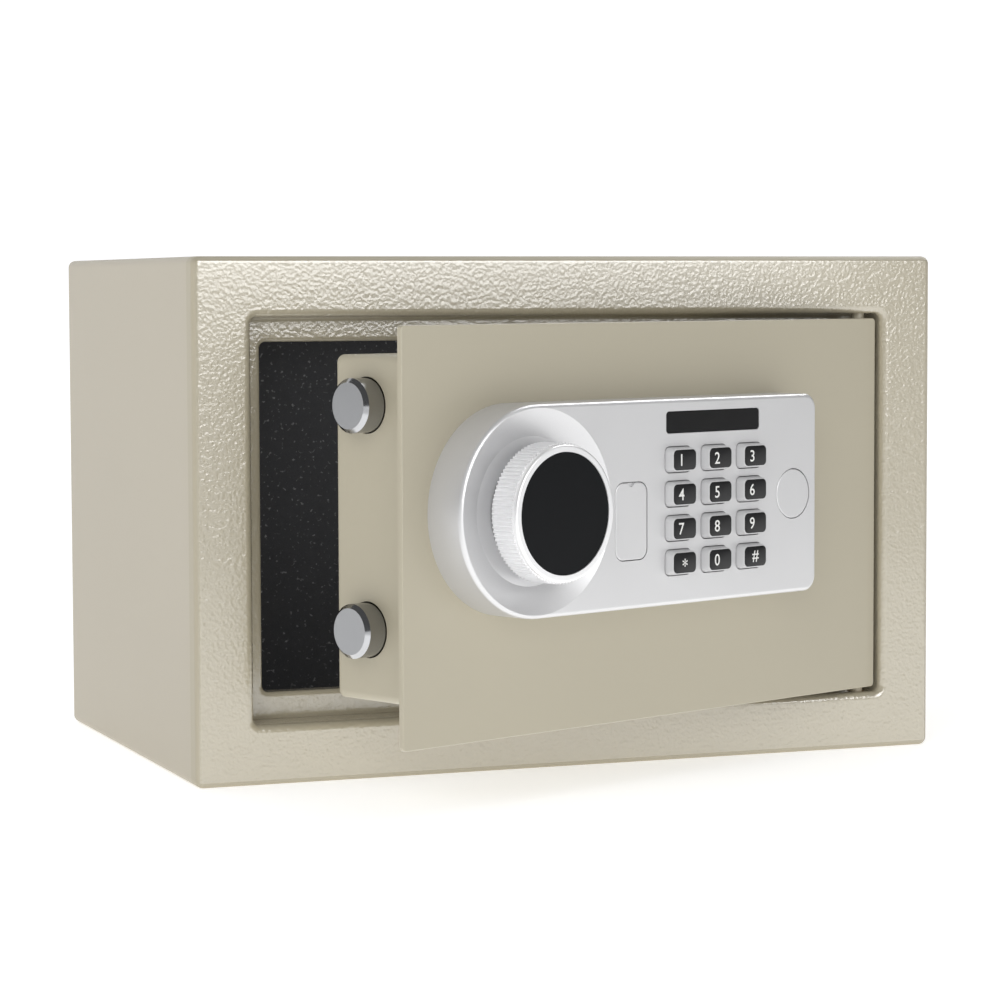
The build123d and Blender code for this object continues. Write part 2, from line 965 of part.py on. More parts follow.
def make_knob_disc():
    """Black disc set into the front of the knob."""
    disc_back = knob_front + disc_pocket
    with BuildPart() as face:
        disc([(drum_x, panel_height_z)], disc_radius, disc_back - disc_thickness, disc_back)
        fillet(face.edges().group_by(Axis.Y)[0], disc_round)
    return face.part


def make_knob_shaft():
    """Steel shaft from the knob to the crank, tapped for the crank screw."""
    place = [(drum_x, panel_height_z)]
    with BuildPart() as shaft:
        disc(place, shaft_radius, shaft_front, shaft_back)
        screw_front = shaft_back - crank_screw_length
        disc(place, crank_screw_radius, screw_front, shaft_back, Mode.SUBTRACT)
    return shaft.part


def make_shaft_bush():
    """Flanged bush in the door plate that the shaft turns in."""
    place = [(drum_x, panel_height_z)]
    with BuildPart() as bush:
        near = plate_front - shaft_bush_proud
        far = plate_back + shaft_bush_proud
        disc(place, shaft_bush_radius, near, plate_back)
        disc(place, shaft_bush_flange, plate_back, far)
        disc(place, shaft_bush_bore, near, far, Mode.SUBTRACT)
    return bush.part


def make_drive_crank():
    """Crank on the shaft with the pin that drives the carriage."""
    with BuildPart() as crank:
        with BuildSketch(at_depth(crank_front)):
            with Locations((drum_x, panel_height_z)):
                Circle(crank_hub)
            with Locations((crank_pin_x, crank_pin_z)):
                Circle(crank_tip)
            make_hull()
        extrude(amount=crank_front - crank_back)
        disc([(crank_pin_x, crank_pin_z)], crank_pin_radius, crank_back, crank_pin_back)
        disc([(drum_x, panel_height_z)], shaft_radius, crank_front, crank_back, Mode.SUBTRACT)
    return crank.part


def make_crank_screw():
    """Screw and its head that hold the crank on the shaft."""
    place = [(drum_x, panel_height_z)]
    with BuildPart() as screw:
        washer_back = crank_back + crank_washer_thickness
        disc(place, crank_washer_radius, crank_back, washer_back)
        disc(place, crank_screw_head, washer_back, washer_back + crank_screw_head_height)
        tip = crank_back - crank_screw_length + thread_gap
        disc(place, crank_screw_radius, tip, crank_back)
    return screw.part


def make_bolt_carriage():
    """Sliding plate with an ear for each bolt, the crank slot, guide slots and plunger notches."""
    ear_back = bolt_y + bolt_radius
    ear_right = ear_left + ear_thickness
    low_bolt, high_bolt = bolt_heights
    with BuildPart() as carriage:
        slab(
            carriage_left,
            carriage_right,
            carriage_bottom,
            carriage_top,
            carriage_front,
            carriage_back,
        )
        slab(
            carriage_left,
            leg_right,
            low_bolt - bolt_radius,
            high_bolt + bolt_radius,
            carriage_front,
            carriage_back,
        )
        for z in bolt_heights:
            centred_slab(
                (ear_left + ear_right) / 2,
                z,
                ear_thickness,
                2 * bolt_radius,
                carriage_front,
                ear_back,
            )
        screw_places = [(bolt_y, z) for z in bolt_heights]
        crosswise(screw_places, bolt_screw_radius, ear_left, ear_right, Mode.SUBTRACT)
        slot_width = 2 * (crank_pin_radius + crank_slot_gap)
        centred_slab(
            crank_pin_x,
            crank_pin_z,
            slot_width,
            crank_slot_length,
            carriage_front,
            carriage_back,
            slot_width / 2 - slot_end_gap,
            Mode.SUBTRACT,
        )
        guide_slot = guide_radius + guide_gap
        for z in guide_heights:
            centred_slab(
                guide_x + bolt_throw / 2,
                z,
                bolt_throw + 2 * guide_slot,
                2 * guide_slot,
                carriage_front,
                carriage_back,
                guide_slot - slot_end_gap,
                Mode.SUBTRACT,
            )
        for x in (plunger_x, plunger_x + bolt_throw):
            centred_slab(
                x,
                carriage_bottom + notch_depth / 2,
                notch_width,
                notch_depth,
                carriage_front,
                carriage_back,
                0.0,
                Mode.SUBTRACT,
            )
    return carriage.part


def make_locking_bolts():
    """Round chromed bolts, bevelled at the tip and tapped at the other end."""
    places = [(bolt_y, z) for z in bolt_heights]
    with BuildPart() as bolts:
        crosswise(places, bolt_radius, bolt_tip, ear_left)
        chamfer(bolts.edges().group_by(Axis.X)[0], bolt_bevel)
        crosswise(places, bolt_screw_radius, ear_left - bolt_screw_length, ear_left, Mode.SUBTRACT)
    return bolts.part


def make_bolt_screws():
    """Screws that hold the bolts to the carriage ears."""
    places = [(bolt_y, z) for z in bolt_heights]
    ear_right = ear_left + ear_thickness
    with BuildPart() as screws:
        crosswise(places, bolt_screw_head, ear_right, ear_right + bolt_screw_head_height)
        fillet(screws.edges().group_by(Axis.X)[-1], bolt_screw_head_round)
        tip = ear_left - bolt_screw_length + thread_gap
        crosswise(places, bolt_screw_radius, tip, ear_right)
    return screws.part


def make_guide_studs():
    """Shouldered studs on the door plate that carry and guide the carriage."""
    places = [(guide_x, z) for z in guide_heights]
    shank_front = carriage_front - guide_gap
    shank_back = carriage_back + guide_gap
    with BuildPart() as studs:
        disc(places, guide_shoulder, plate_back, shank_front)
        disc(places, guide_radius, shank_front, shank_back)
        disc(places, guide_shoulder, shank_back, shank_back + guide_head)
    return studs.part


def make_solenoid_frame():
    """Folded bracket around the coil, with a foot that reaches the door plate."""
    x_low = plunger_x - solenoid_width / 2
    x_high = plunger_x + solenoid_width / 2
    y_near = plunger_y - solenoid_width / 2
    y_far = plunger_y + solenoid_width / 2
    with BuildPart() as frame:
        slab(x_low, x_high, solenoid_bottom, solenoid_top, y_near, y_far)
        slab(
            x_low + solenoid_sheet,
            x_high - solenoid_sheet,
            solenoid_bottom + solenoid_sheet,
            solenoid_top - solenoid_sheet,
            y_near,
            y_far,
            0.0,
            Mode.SUBTRACT,
        )
        slab(
            x_low, x_high, solenoid_bottom, solenoid_bottom + solenoid_sheet, plate_back, y_near
        )
        hole_bottom = solenoid_top - solenoid_sheet
        upright([(plunger_x, plunger_y)], coil_bore, hole_bottom, solenoid_top, Mode.SUBTRACT)
    return frame.part


def make_solenoid_coil():
    """Wound coil on its bobbin, bored for the plunger."""
    place = [(plunger_x, plunger_y)]
    low = solenoid_bottom + solenoid_sheet
    high = solenoid_top - solenoid_sheet
    with BuildPart() as coil:
        upright(place, coil_radius, low, high)
        upright(place, coil_radius + bobbin_lip, low, low + bobbin_flange)
        upright(place, coil_radius + bobbin_lip, high - bobbin_flange, high)
        upright(place, coil_bore, spring_bottom - spring_seat, high, Mode.SUBTRACT)
    return coil.part


def make_solenoid_plunger():
    """Steel plunger that rises into a notch of the carriage."""
    with BuildPart() as plunger:
        upright([(plunger_x, plunger_y)], plunger_radius, plunger_bottom, plunger_top)
        chamfer(plunger.edges().group_by(Axis.Z)[-1], plunger_bevel)
    return plunger.part


def make_solenoid_spring():
    """Return spring under the plunger."""
    height_between = plunger_bottom - spring_bottom - 2 * spring_wire
    start_z = spring_bottom + spring_wire
    with BuildPart() as spring:
        with BuildLine() as coil:
            Helix(
                pitch=height_between / spring_turns,
                height=height_between,
                radius=spring_radius,
                center=(plunger_x, plunger_y, start_z),
            )
        with BuildSketch(Plane(origin=coil.line @ 0, z_dir=coil.line % 0)):
            Circle(spring_wire)
        sweep(is_frenet=True)
    return spring.part


def cell_places():
    """Heights of the battery centres, from the bottom up."""
    first = tray_z - cell_pitch * (cell_count - 1) / 2
    return [first + cell_pitch * i for i in range(cell_count)]


def make_battery_tray():
    """Open plastic tray behind the hatch that holds the batteries."""
    inside = box_back - box_wall
    outer_x = tray_inner_x + 2 * tray_wall
    outer_z = tray_inner_z + 2 * tray_wall
    floor = tray_front + tray_wall
    with BuildPart() as tray:
        centred_slab(tray_x, tray_z, outer_x, outer_z, tray_front, inside, tray_corner)
        centred_slab(
            tray_x, tray_z, tray_inner_x, tray_inner_z, floor, inside, 0.0, Mode.SUBTRACT
        )
    return tray.part


def make_batteries():
    """Four AA cells side by side, every other one turned round."""
    centre_y = tray_front + tray_wall + cell_radius + cell_gap
    low = tray_x - (cell_length + cell_terminal) / 2
    with BuildPart() as cells:
        for i, z in enumerate(cell_places()):
            flipped = i % 2
            start = low + cell_terminal * flipped
            tip = low if flipped else low + cell_length
            crosswise([(centre_y, z)], cell_radius, start, start + cell_length)
            crosswise([(centre_y, z)], cell_terminal_radius, tip, tip + cell_terminal)
    return cells.part


def make_battery_cover():
    """Pull-off cover over the battery hatch."""
    cover_back = box_back + hatch_cover_thickness
    with BuildPart() as cover:
        centred_slab(
            tray_x,
            tray_z,
            hatch_cover_x,
            hatch_cover_z,
            box_back,
            cover_back,
            hatch_cover_corner,
        )
        fillet(cover.faces().sort_by(Axis.Y)[-1].outer_wire().edges(), hatch_cover_round)
        centred_slab(
            tray_x,
            tray_z,
            hatch_x - 2 * hatch_gap,
            hatch_z - 2 * hatch_gap,
            box_back - box_wall,
            box_back,
            hatch_corner - hatch_gap,
        )
    return cover.part


def make_reset_switch():
    """Switch body behind the reset hole."""
    inside = box_back - box_wall
    with BuildPart() as switch:
        near = inside - reset_body_depth
        centred_slab(reset_x, reset_z, reset_body, reset_body, near, inside, reset_body_corner)
        bore_front = inside - reset_body_depth / 2
        disc([(reset_x, reset_z)], reset_bore, bore_front, inside, Mode.SUBTRACT)
    return switch.part


def make_reset_button():
    """Small round button that starts a new code."""
    inside = box_back - box_wall
    with BuildPart() as button:
        button_back = box_back + reset_proud
        disc([(reset_x, reset_z)], reset_radius, inside - reset_reach, button_back)
        fillet(button.edges().group_by(Axis.Y)[-1], reset_round)
    return button.part


def make_battery_lead():
    """Short lead from the circuit board to the battery tray."""
    with BuildPart() as lead:
        disc([(lead_x, lead_z)], lead_radius, board_front + board_thickness, tray_front)
    return lead.part


def make_lead_grommet():
    """Rubber grommet around the lead in the door plate."""
    place = [(lead_x, lead_z)]
    with BuildPart() as grommet:
        near = plate_front - grommet_lip_thickness
        far = plate_back + grommet_lip_thickness
        disc(place, grommet_radius, plate_front, plate_back)
        disc(place, grommet_lip, plate_back, far)
        disc(place, grommet_lip, near, plate_front)
        disc(place, lead_radius, near, far, Mode.SUBTRACT)
    return grommet.part


body_pieces = {
    "body_wrap": make_body_wrap(),
    "front_frame": make_front_frame(),
    "back_panel": make_back_panel(),
    "back_lining": make_back_lining(),
    "floor_mat": make_floor_mat(),
    "hinge_bushes": make_hinge_bushes(),
}
door_pieces = {
    "door_plate": make_door_plate(),
    "hinge_knuckles": make_hinge_knuckles(),
    "hinge_pins": make_hinge_pins(),
    "lock_box_posts": make_standoffs(),
    "lock_box": make_lock_box(),
    "lock_box_screws": make_lock_box_screws(),
    "panel_housing": make_panel_housing(),
    "panel_screws": make_panel_screws(),
    "display_window": make_display_window(),
    "display_module": make_display_module(),
    "circuit_board": make_circuit_board(),
    "keypad_membrane": make_keypad_membrane(),
    "power_cover": make_power_cover(),
    "power_socket": make_power_socket(),
    "keyhole_cap": make_keyhole_cap(),
    "cylinder_body": make_cylinder_body(),
    "cylinder_nut": make_cylinder_nut(),
    "cylinder_plug": make_cylinder_plug(),
    "cylinder_cam": make_cylinder_cam(),
    "knob": make_knob(),
    "knob_disc": make_knob_disc(),
    "knob_shaft": make_knob_shaft(),
    "shaft_bush": make_shaft_bush(),
    "drive_crank": make_drive_crank(),
    "crank_screw": make_crank_screw(),
    "bolt_carriage": make_bolt_carriage(),
    "locking_bolts": make_locking_bolts(),
    "bolt_screws": make_bolt_screws(),
    "guide_studs": make_guide_studs(),
    "solenoid_frame": make_solenoid_frame(),
    "solenoid_coil": make_solenoid_coil(),
    "solenoid_plunger": make_solenoid_plunger(),
    "solenoid_spring": make_solenoid_spring(),
    "battery_tray": make_battery_tray(),
    "batteries": make_batteries(),
    "battery_cover": make_battery_cover(),
    "reset_switch": make_reset_switch(),
    "reset_button": make_reset_button(),
    "battery_lead": make_battery_lead(),
    "lead_grommet": make_lead_grommet(),
}
for name, (key_x, key_z) in key_places().items():
    door_pieces[f"key_{name}"] = make_key(key_x, key_z)

os.makedirs("parts", exist_ok=True)
for label, piece in body_pieces.items():
    piece.label = label
    export_step(piece, f"parts/{label}.step")
for label, piece in door_pieces.items():
    turned = piece.rotate(hinge_axis, rest_opening)
    turned.label = label
    export_step(turned, f"parts/{label}.step")
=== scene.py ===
import json
from math import cos, pi, radians, sin

import bmesh
import bpy
from bpy.props import FloatProperty, FloatVectorProperty, PointerProperty
from mathutils import Matrix, Vector


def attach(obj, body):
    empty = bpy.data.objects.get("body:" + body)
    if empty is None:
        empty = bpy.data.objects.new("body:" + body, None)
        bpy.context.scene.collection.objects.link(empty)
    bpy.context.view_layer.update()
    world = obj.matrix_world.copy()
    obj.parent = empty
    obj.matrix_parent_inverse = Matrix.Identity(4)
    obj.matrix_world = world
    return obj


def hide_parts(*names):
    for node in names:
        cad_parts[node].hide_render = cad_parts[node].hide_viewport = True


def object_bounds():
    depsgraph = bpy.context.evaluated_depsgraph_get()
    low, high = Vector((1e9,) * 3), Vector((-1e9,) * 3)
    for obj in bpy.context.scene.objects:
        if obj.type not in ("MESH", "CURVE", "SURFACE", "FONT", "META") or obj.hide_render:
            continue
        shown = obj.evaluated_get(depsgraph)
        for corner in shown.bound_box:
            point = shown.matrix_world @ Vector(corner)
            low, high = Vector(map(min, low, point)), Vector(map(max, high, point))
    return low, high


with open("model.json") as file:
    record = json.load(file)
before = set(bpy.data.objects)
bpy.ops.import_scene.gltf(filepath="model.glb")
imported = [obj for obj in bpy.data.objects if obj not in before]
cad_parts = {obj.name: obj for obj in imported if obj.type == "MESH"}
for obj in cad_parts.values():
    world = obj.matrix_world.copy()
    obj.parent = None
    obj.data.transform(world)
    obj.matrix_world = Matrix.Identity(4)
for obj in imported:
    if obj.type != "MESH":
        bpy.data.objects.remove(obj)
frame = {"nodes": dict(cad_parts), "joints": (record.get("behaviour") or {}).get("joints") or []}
cad_low, cad_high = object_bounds()

bl_info = {
    "name": "In Room Safe",
    "version": (1, 0, 0),
    "blender": (4, 5, 0),
    "location": "View3D > Sidebar > In Room Safe",
    "description": "Finishes, keys and studio stage of a hotel room safe with a keypad and a turning knob",
    "category": "Object",
}

MM = 0.001

# The door stands open at rest. New door pieces are made with the door shut, then turned about the hinge.
hinge = next(joint for joint in frame["joints"] if joint["name"] == "door_hinge")
hinge_place = Vector(hinge["pos_m"])
opening = Matrix.Rotation(-radians(hinge["range_deg"][0]), 4, "Z")
door_turn = Matrix.Translation(hinge_place) @ opening @ Matrix.Translation(-hinge_place)
door_back = door_turn.inverted()


def corners(points):
    """Lowest and highest corner of the box around some points."""
    low = Vector([min(point[axis] for point in points) for axis in range(3)])
    high = Vector([max(point[axis] for point in points) for axis in range(3)])
    return low, high


def shut_box(node):
    """Lowest and highest corner of a door node, measured with the door shut."""
    return corners([door_back @ vertex.co for vertex in frame["nodes"][node].data.vertices])


def shut_middle(node):
    """Middle of a door node's box, measured with the door shut."""
    low, high = shut_box(node)
    return (low + high) / 2


panel_face = shut_box("panel_housing")[0].y
knob_middle = shut_middle("knob")
key_low, key_high = shut_box("key_1")
key_size = key_high - key_low
KEY_NAMES = ("1", "2", "3", "4", "5", "6", "7", "8", "9", "star", "0", "hash")
KEY_MARKS = {"star": "*", "hash": "#"}


def tint(red, green, blue):
    """A colour given as screen values from 0 to 255, as linear values."""
    return tuple((value / 255) ** 2.2 for value in (red, green, blue))


def colour_setting(name, description, default):
    """A colour that a user can change."""
    return FloatVectorProperty(
        name=name, description=description, subtype="COLOR", size=3, min=0, max=1, default=default
    )


def length_setting(name, description, millimetres):
    """A length that a user can change."""
    return FloatProperty(name=name, description=description, unit="LENGTH", min=0, default=millimetres * MM)


def number_setting(name, description, default, least=0):
    """A plain number that a user can change."""
    return FloatProperty(name=name, description=description, min=least, default=default)


class SafePaint(bpy.types.PropertyGroup):
    """Powder coat and felt."""

    shell: colour_setting("Shell", "Powder coat on the body", tint(182, 174, 156))
    frame: colour_setting("Front frame", "Powder coat on the pressed front", tint(177, 169, 148))
    door: colour_setting("Door", "Powder coat on the door and the lock box", tint(180, 173, 153))
    black_felt: colour_setting("Back felt", "Felt on the back panel", tint(80, 81, 84))
    grey_felt: colour_setting("Floor mat", "Felt mat on the base", tint(150, 152, 158))
    peel_size: length_setting("Peel size", "Width of one pebble in the front frame's coat", 0.85)
    peel_depth: length_setting("Peel depth", "Height of the pebbles in the front frame's coat", 0.2)


class SafePanel(bpy.types.PropertyGroup):
    """Plastic of the control panel, the knob and the keys."""

    silver: colour_setting("Panel", "Silver paint on the panel and its covers", tint(206, 206, 207))
    knob: colour_setting("Knob", "Silver paint on the knob", tint(234, 234, 235))
    key_body: colour_setting("Key sides", "Plastic of the key bodies", tint(198, 198, 199))
    key_face: colour_setting("Key face", "Dark face on each key", tint(32, 32, 33))
    mark: colour_setting("Digits", "Printed digits on the keys", tint(235, 235, 232))
    disc: colour_setting("Knob disc", "Black disc in the front of the knob", tint(7, 11, 15))
    digit_height: length_setting("Digit height", "Height of the printed digits", 4.4)
    key_edge: length_setting("Key edge", "Rounding of the front edge of each key", 0.25)


class SafeStage(bpy.types.PropertyGroup):
    """Floor, lights and camera."""

    floor: colour_setting("Floor", "Colour of the studio floor", tint(250, 250, 250))
    lens: number_setting("Lens", "Focal length in millimetres", 113.17, 10)
    key_power: number_setting("Key light", "Watts of the large light on the left", 10)
    front_power: number_setting("Front light", "Watts of the front light, which gloss doesn't mirror", 8)
    side_power: number_setting("Right light", "Watts of the light on the hinge side", 1.5)
    ground_power: number_setting("Ground light", "Watts of the low panel in front that gloss mirrors", 1.9)
    inside_power: number_setting("Inside light", "Watts of the small light under the roof", 0.055)
    gloss_power: number_setting("Gloss light", "Watts of the front panel that only gloss mirrors", 14)
    top_power: number_setting("Top light", "Watts of the panel overhead that only gloss mirrors", 12)
    fill: number_setting("Fill", "Strength of the even light all round", 0.44)
    mirror_fill: number_setting("Mirror fill", "Strength of the surroundings in gloss", 0.15)


SETTING_GROUPS = {"safe_paint": SafePaint, "safe_panel": SafePanel, "safe_stage": SafeStage}


# Shader node groups, each made once


def start_group(name, inputs, outputs):
    """Empty shader node group. Inputs are (name, kind, default) and outputs are (name, kind)."""
    group = bpy.data.node_groups.new(name, "ShaderNodeTree")
    for label, kind, default in inputs:
        socket = group.interface.new_socket(name=label, in_out="INPUT", socket_type=f"NodeSocket{kind}")
        if default is not None:
            socket.default_value = default
    for label, kind in outputs:
        group.interface.new_socket(name=label, in_out="OUTPUT", socket_type=f"NodeSocket{kind}")
    return group, group.nodes.new("NodeGroupInput"), group.nodes.new("NodeGroupOutput")


def plug(tree, value, socket):
    """Joins an output to a socket, or sets the socket to a plain value."""
    if isinstance(value, bpy.types.NodeSocket):
        tree.links.new(value, socket)
    else:
        socket.default_value = value


def maths(tree, operation, first, second=0.0, third=0.0):
    """Math node and its output."""
    node = tree.nodes.new("ShaderNodeMath")
    node.operation = operation
    for socket, value in zip(node.inputs, (first, second, third)):
        plug(tree, value, socket)
    return node.outputs[0]


def swing(tree, value, reach):
    """Turns a pattern from 0 to 1 into one about zero, with a reach from its lowest to its highest."""
    return maths(tree, "MULTIPLY", maths(tree, "SUBTRACT", value, 0.5), reach)


def ramp(tree, value, from_low, from_high, to_low, to_high):
    """Clamped change of range with a smooth start and end."""
    node = tree.nodes.new("ShaderNodeMapRange")
    node.interpolation_type = "SMOOTHSTEP"
    for socket, item in zip(node.inputs, (value, from_low, from_high, to_low, to_high)):
        plug(tree, item, socket)
    return node.outputs[0]


def noise(tree, vector, scale, detail=2.0, roughness=0.5, distortion=0.0):
    """Noise texture and its value."""
    node = tree.nodes.new("ShaderNodeTexNoise")
    node.noise_dimensions = "3D"
    plug(tree, vector, node.inputs["Vector"])
    plug(tree, scale, node.inputs["Scale"])
    node.inputs["Detail"].default_value = detail
    node.inputs["Roughness"].default_value = roughness
    node.inputs["Distortion"].default_value = distortion
    return node.outputs[0]


def cells(tree, vector, scale, smoothness):
    """Soft round cells and their distance value."""
    node = tree.nodes.new("ShaderNodeTexVoronoi")
    node.feature = "SMOOTH_F1"
    plug(tree, vector, node.inputs["Vector"])
    plug(tree, scale, node.inputs["Scale"])
    node.inputs["Smoothness"].default_value = smoothness
    return node.outputs["Distance"]


def stretch(tree, vector, factors):
    """Vector with each axis multiplied."""
    node = tree.nodes.new("ShaderNodeVectorMath")
    node.operation = "MULTIPLY"
    plug(tree, vector, node.inputs[0])
    plug(tree, factors, node.inputs[1])
    return node.outputs[0]


def tone(tree, colour, factor):
    """Colour made lighter or darker by a factor that changes over the surface."""
    node = tree.nodes.new("ShaderNodeVectorMath")
    node.operation = "SCALE"
    plug(tree, colour, node.inputs[0])
    plug(tree, factor, node.inputs["Scale"])
    return node.outputs[0]


# A Mix node has sockets for each kind of value. These are the places of its colour sockets.
COLOUR_A, COLOUR_B, COLOUR_MIX = 6, 7, 2


def blend_colours(tree, mask, first, second):
    """Mix of two colours by a mask."""
    node = tree.nodes.new("ShaderNodeMix")
    node.data_type = "RGBA"
    plug(tree, mask, node.inputs["Factor"])
    plug(tree, first, node.inputs[COLOUR_A])
    plug(tree, second, node.inputs[COLOUR_B])
    return node.outputs[COLOUR_MIX]


def make_peel_group():
    """Powder coat: pebbled skin, slow drift of tone and fine specks."""
    group, source, sink = start_group(
        "powder_coat",
        [
            ("Vector", "Vector", None),
            ("Color", "Color", (0.5, 0.46, 0.36, 1)),
            ("Pebble", "Float", 0.0015),
            ("Drift", "Float", 0.04),
            ("Gloss", "Float", 0.35),
        ],
        [("Color", "Color"), ("Height", "Float"), ("Roughness", "Float")],
    )
    swell_density, pebble_density, speck_density = 0.55, 0.62, 2.2
    swell_share, pebble_share = 0.8, 0.55
    drift_density = 9.0
    speck_tone, speck_gloss = 0.03, 0.1
    vector = source.outputs["Vector"]
    scale = maths(group, "DIVIDE", 1.0, source.outputs["Pebble"])
    swell_scale = maths(group, "MULTIPLY", scale, swell_density)
    swell = noise(group, vector, swell_scale, detail=1.5, roughness=0.45, distortion=0.35)
    pebble = cells(group, vector, maths(group, "MULTIPLY", scale, pebble_density), smoothness=0.7)
    height = maths(group, "MULTIPLY_ADD", pebble, pebble_share, maths(group, "MULTIPLY", swell, swell_share))
    drift = noise(group, vector, drift_density)
    speck = noise(group, vector, maths(group, "MULTIPLY", scale, speck_density))
    wide = swing(group, drift, source.outputs["Drift"])
    factor = maths(group, "ADD", 1.0, maths(group, "ADD", wide, swing(group, speck, speck_tone)))
    group.links.new(tone(group, source.outputs["Color"], factor), sink.inputs["Color"])
    group.links.new(height, sink.inputs["Height"])
    gloss = maths(group, "ADD", source.outputs["Gloss"], swing(group, speck, speck_gloss))
    group.links.new(gloss, sink.inputs["Roughness"])
    return group


def make_rim_group():
    """Mask of the pebbled skin: full on the front, none on the outer flange and its bend."""
    pebbles_fade, pebbles_end = 1.9 * MM, 0.9 * MM
    group, source, sink = start_group(
        "flange_mask",
        [("Vector", "Vector", None), ("Half Width", "Float", 0.15), ("Half Height", "Float", 0.1)],
        [("Mask", "Float")],
    )
    parts = group.nodes.new("ShaderNodeSeparateXYZ")
    group.links.new(source.outputs["Vector"], parts.inputs[0])
    across = maths(group, "ABSOLUTE", parts.outputs["X"])
    upright = maths(group, "ABSOLUTE", parts.outputs["Z"])
    beside = maths(group, "SUBTRACT", across, source.outputs["Half Width"])
    above = maths(group, "SUBTRACT", upright, source.outputs["Half Height"])
    outline = maths(group, "MAXIMUM", beside, above)
    group.links.new(ramp(group, outline, -pebbles_fade, -pebbles_end, 1.0, 0.0), sink.inputs["Mask"])
    return group


def make_grain_group():
    """Moulded or painted plastic: fine spark grain and slow changes of gloss."""
    group, source, sink = start_group(
        "moulded_grain",
        [
            ("Vector", "Vector", None),
            ("Color", "Color", (0.6, 0.6, 0.6, 1)),
            ("Grain", "Float", 0.0003),
            ("Gloss", "Float", 0.4),
            ("Fleck", "Float", 0.03),
        ],
        [("Color", "Color"), ("Height", "Float"), ("Roughness", "Float")],
    )
    smear_density, smear_tone, smear_gloss = 28.0, 0.03, 0.12
    vector = source.outputs["Vector"]
    scale = maths(group, "DIVIDE", 1.0, source.outputs["Grain"])
    grain = noise(group, vector, scale, detail=1.0)
    smear = noise(group, vector, smear_density, detail=3.0, roughness=0.6, distortion=0.8)
    fleck = swing(group, grain, source.outputs["Fleck"])
    factor = maths(group, "ADD", 1.0, maths(group, "ADD", fleck, swing(group, smear, smear_tone)))
    group.links.new(tone(group, source.outputs["Color"], factor), sink.inputs["Color"])
    group.links.new(grain, sink.inputs["Height"])
    gloss = maths(group, "ADD", source.outputs["Gloss"], swing(group, smear, smear_gloss))
    group.links.new(gloss, sink.inputs["Roughness"])
    return group


def make_felt_group():
    """Pressed felt: tangled fibres and paler flecks."""
    group, source, sink = start_group(
        "pressed_felt",
        [
            ("Vector", "Vector", None),
            ("Color", "Color", (0.1, 0.1, 0.1, 1)),
            ("Fleck Color", "Color", (0.4, 0.4, 0.4, 1)),
            ("Fleck Share", "Float", 0.3),
        ],
        [("Color", "Color"), ("Height", "Float")],
    )
    fibre_density, clump_density, fleck_density = 900.0, 190.0, 620.0
    rarest_fleck, fleck_spread, fleck_edge = 0.72, 0.35, 0.12
    darkest, fibre_tone, clump_tone = 0.62, 0.45, 0.3
    clump_height = 0.7
    vector = source.outputs["Vector"]
    fibre = noise(group, vector, fibre_density, detail=3.0, roughness=0.6, distortion=2.5)
    clump = noise(group, vector, clump_density, detail=4.0, roughness=0.65, distortion=0.6)
    fleck = noise(group, vector, fleck_density)
    spread = maths(group, "MULTIPLY", source.outputs["Fleck Share"], fleck_spread)
    low = maths(group, "SUBTRACT", rarest_fleck, spread)
    mask = ramp(group, fleck, low, maths(group, "ADD", low, fleck_edge), 0.0, 1.0)
    flecked = blend_colours(group, mask, source.outputs["Color"], source.outputs["Fleck Color"])
    fibres = maths(group, "MULTIPLY_ADD", fibre, fibre_tone, darkest)
    factor = maths(group, "MULTIPLY_ADD", clump, clump_tone, fibres)
    group.links.new(tone(group, flecked, factor), sink.inputs["Color"])
    group.links.new(maths(group, "MULTIPLY_ADD", clump, clump_height, fibre), sink.inputs["Height"])
    return group


def make_lines_group():
    """Drawn or brushed metal: fine lines along one axis and slow changes of gloss."""
    group, source, sink = start_group(
        "metal_lines",
        [
            ("Vector", "Vector", None),
            ("Color", "Color", (0.6, 0.6, 0.6, 1)),
            ("Stretch", "Vector", (40.0, 3000.0, 3000.0)),
            ("Gloss", "Float", 0.25),
            ("Wear", "Float", 0.1),
        ],
        [("Color", "Color"), ("Height", "Float"), ("Roughness", "Float")],
    )
    line_swing, cloud_density, worn_gloss = 0.08, 90.0, 0.6
    vector = source.outputs["Vector"]
    lines = noise(group, stretch(group, vector, source.outputs["Stretch"]), 1.0)
    cloud = noise(group, vector, cloud_density, detail=3.0, roughness=0.6, distortion=0.5)
    worn = swing(group, cloud, source.outputs["Wear"])
    drawn = swing(group, lines, line_swing)
    factor = maths(group, "ADD", 1.0, maths(group, "ADD", drawn, worn))
    group.links.new(tone(group, source.outputs["Color"], factor), sink.inputs["Color"])
    group.links.new(lines, sink.inputs["Height"])
    rough = maths(group, "ADD", source.outputs["Gloss"], drawn)
    group.links.new(maths(group, "MULTIPLY_ADD", worn, worn_gloss, rough), sink.inputs["Roughness"])
    return group


def make_rings_group():
    """Lathe turned face: fine rings about the Y axis."""
    group, source, sink = start_group(
        "turned_rings",
        [("Vector", "Vector", None), ("Pitch", "Float", 0.0002)],
        [("Height", "Float"), ("Variation", "Float")],
    )
    flat = stretch(group, source.outputs["Vector"], (1.0, 0.0, 1.0))
    length = group.nodes.new("ShaderNodeVectorMath")
    length.operation = "LENGTH"
    group.links.new(flat, length.inputs[0])
    turns = maths(group, "DIVIDE", length.outputs["Value"], source.outputs["Pitch"])
    along = group.nodes.new("ShaderNodeCombineXYZ")
    group.links.new(turns, along.inputs["X"])
    rings = noise(group, along.outputs[0], 1.0, detail=1.0)
    group.links.new(rings, sink.inputs["Height"])
    group.links.new(maths(group, "SUBTRACT", rings, 0.5), sink.inputs["Variation"])
    return group


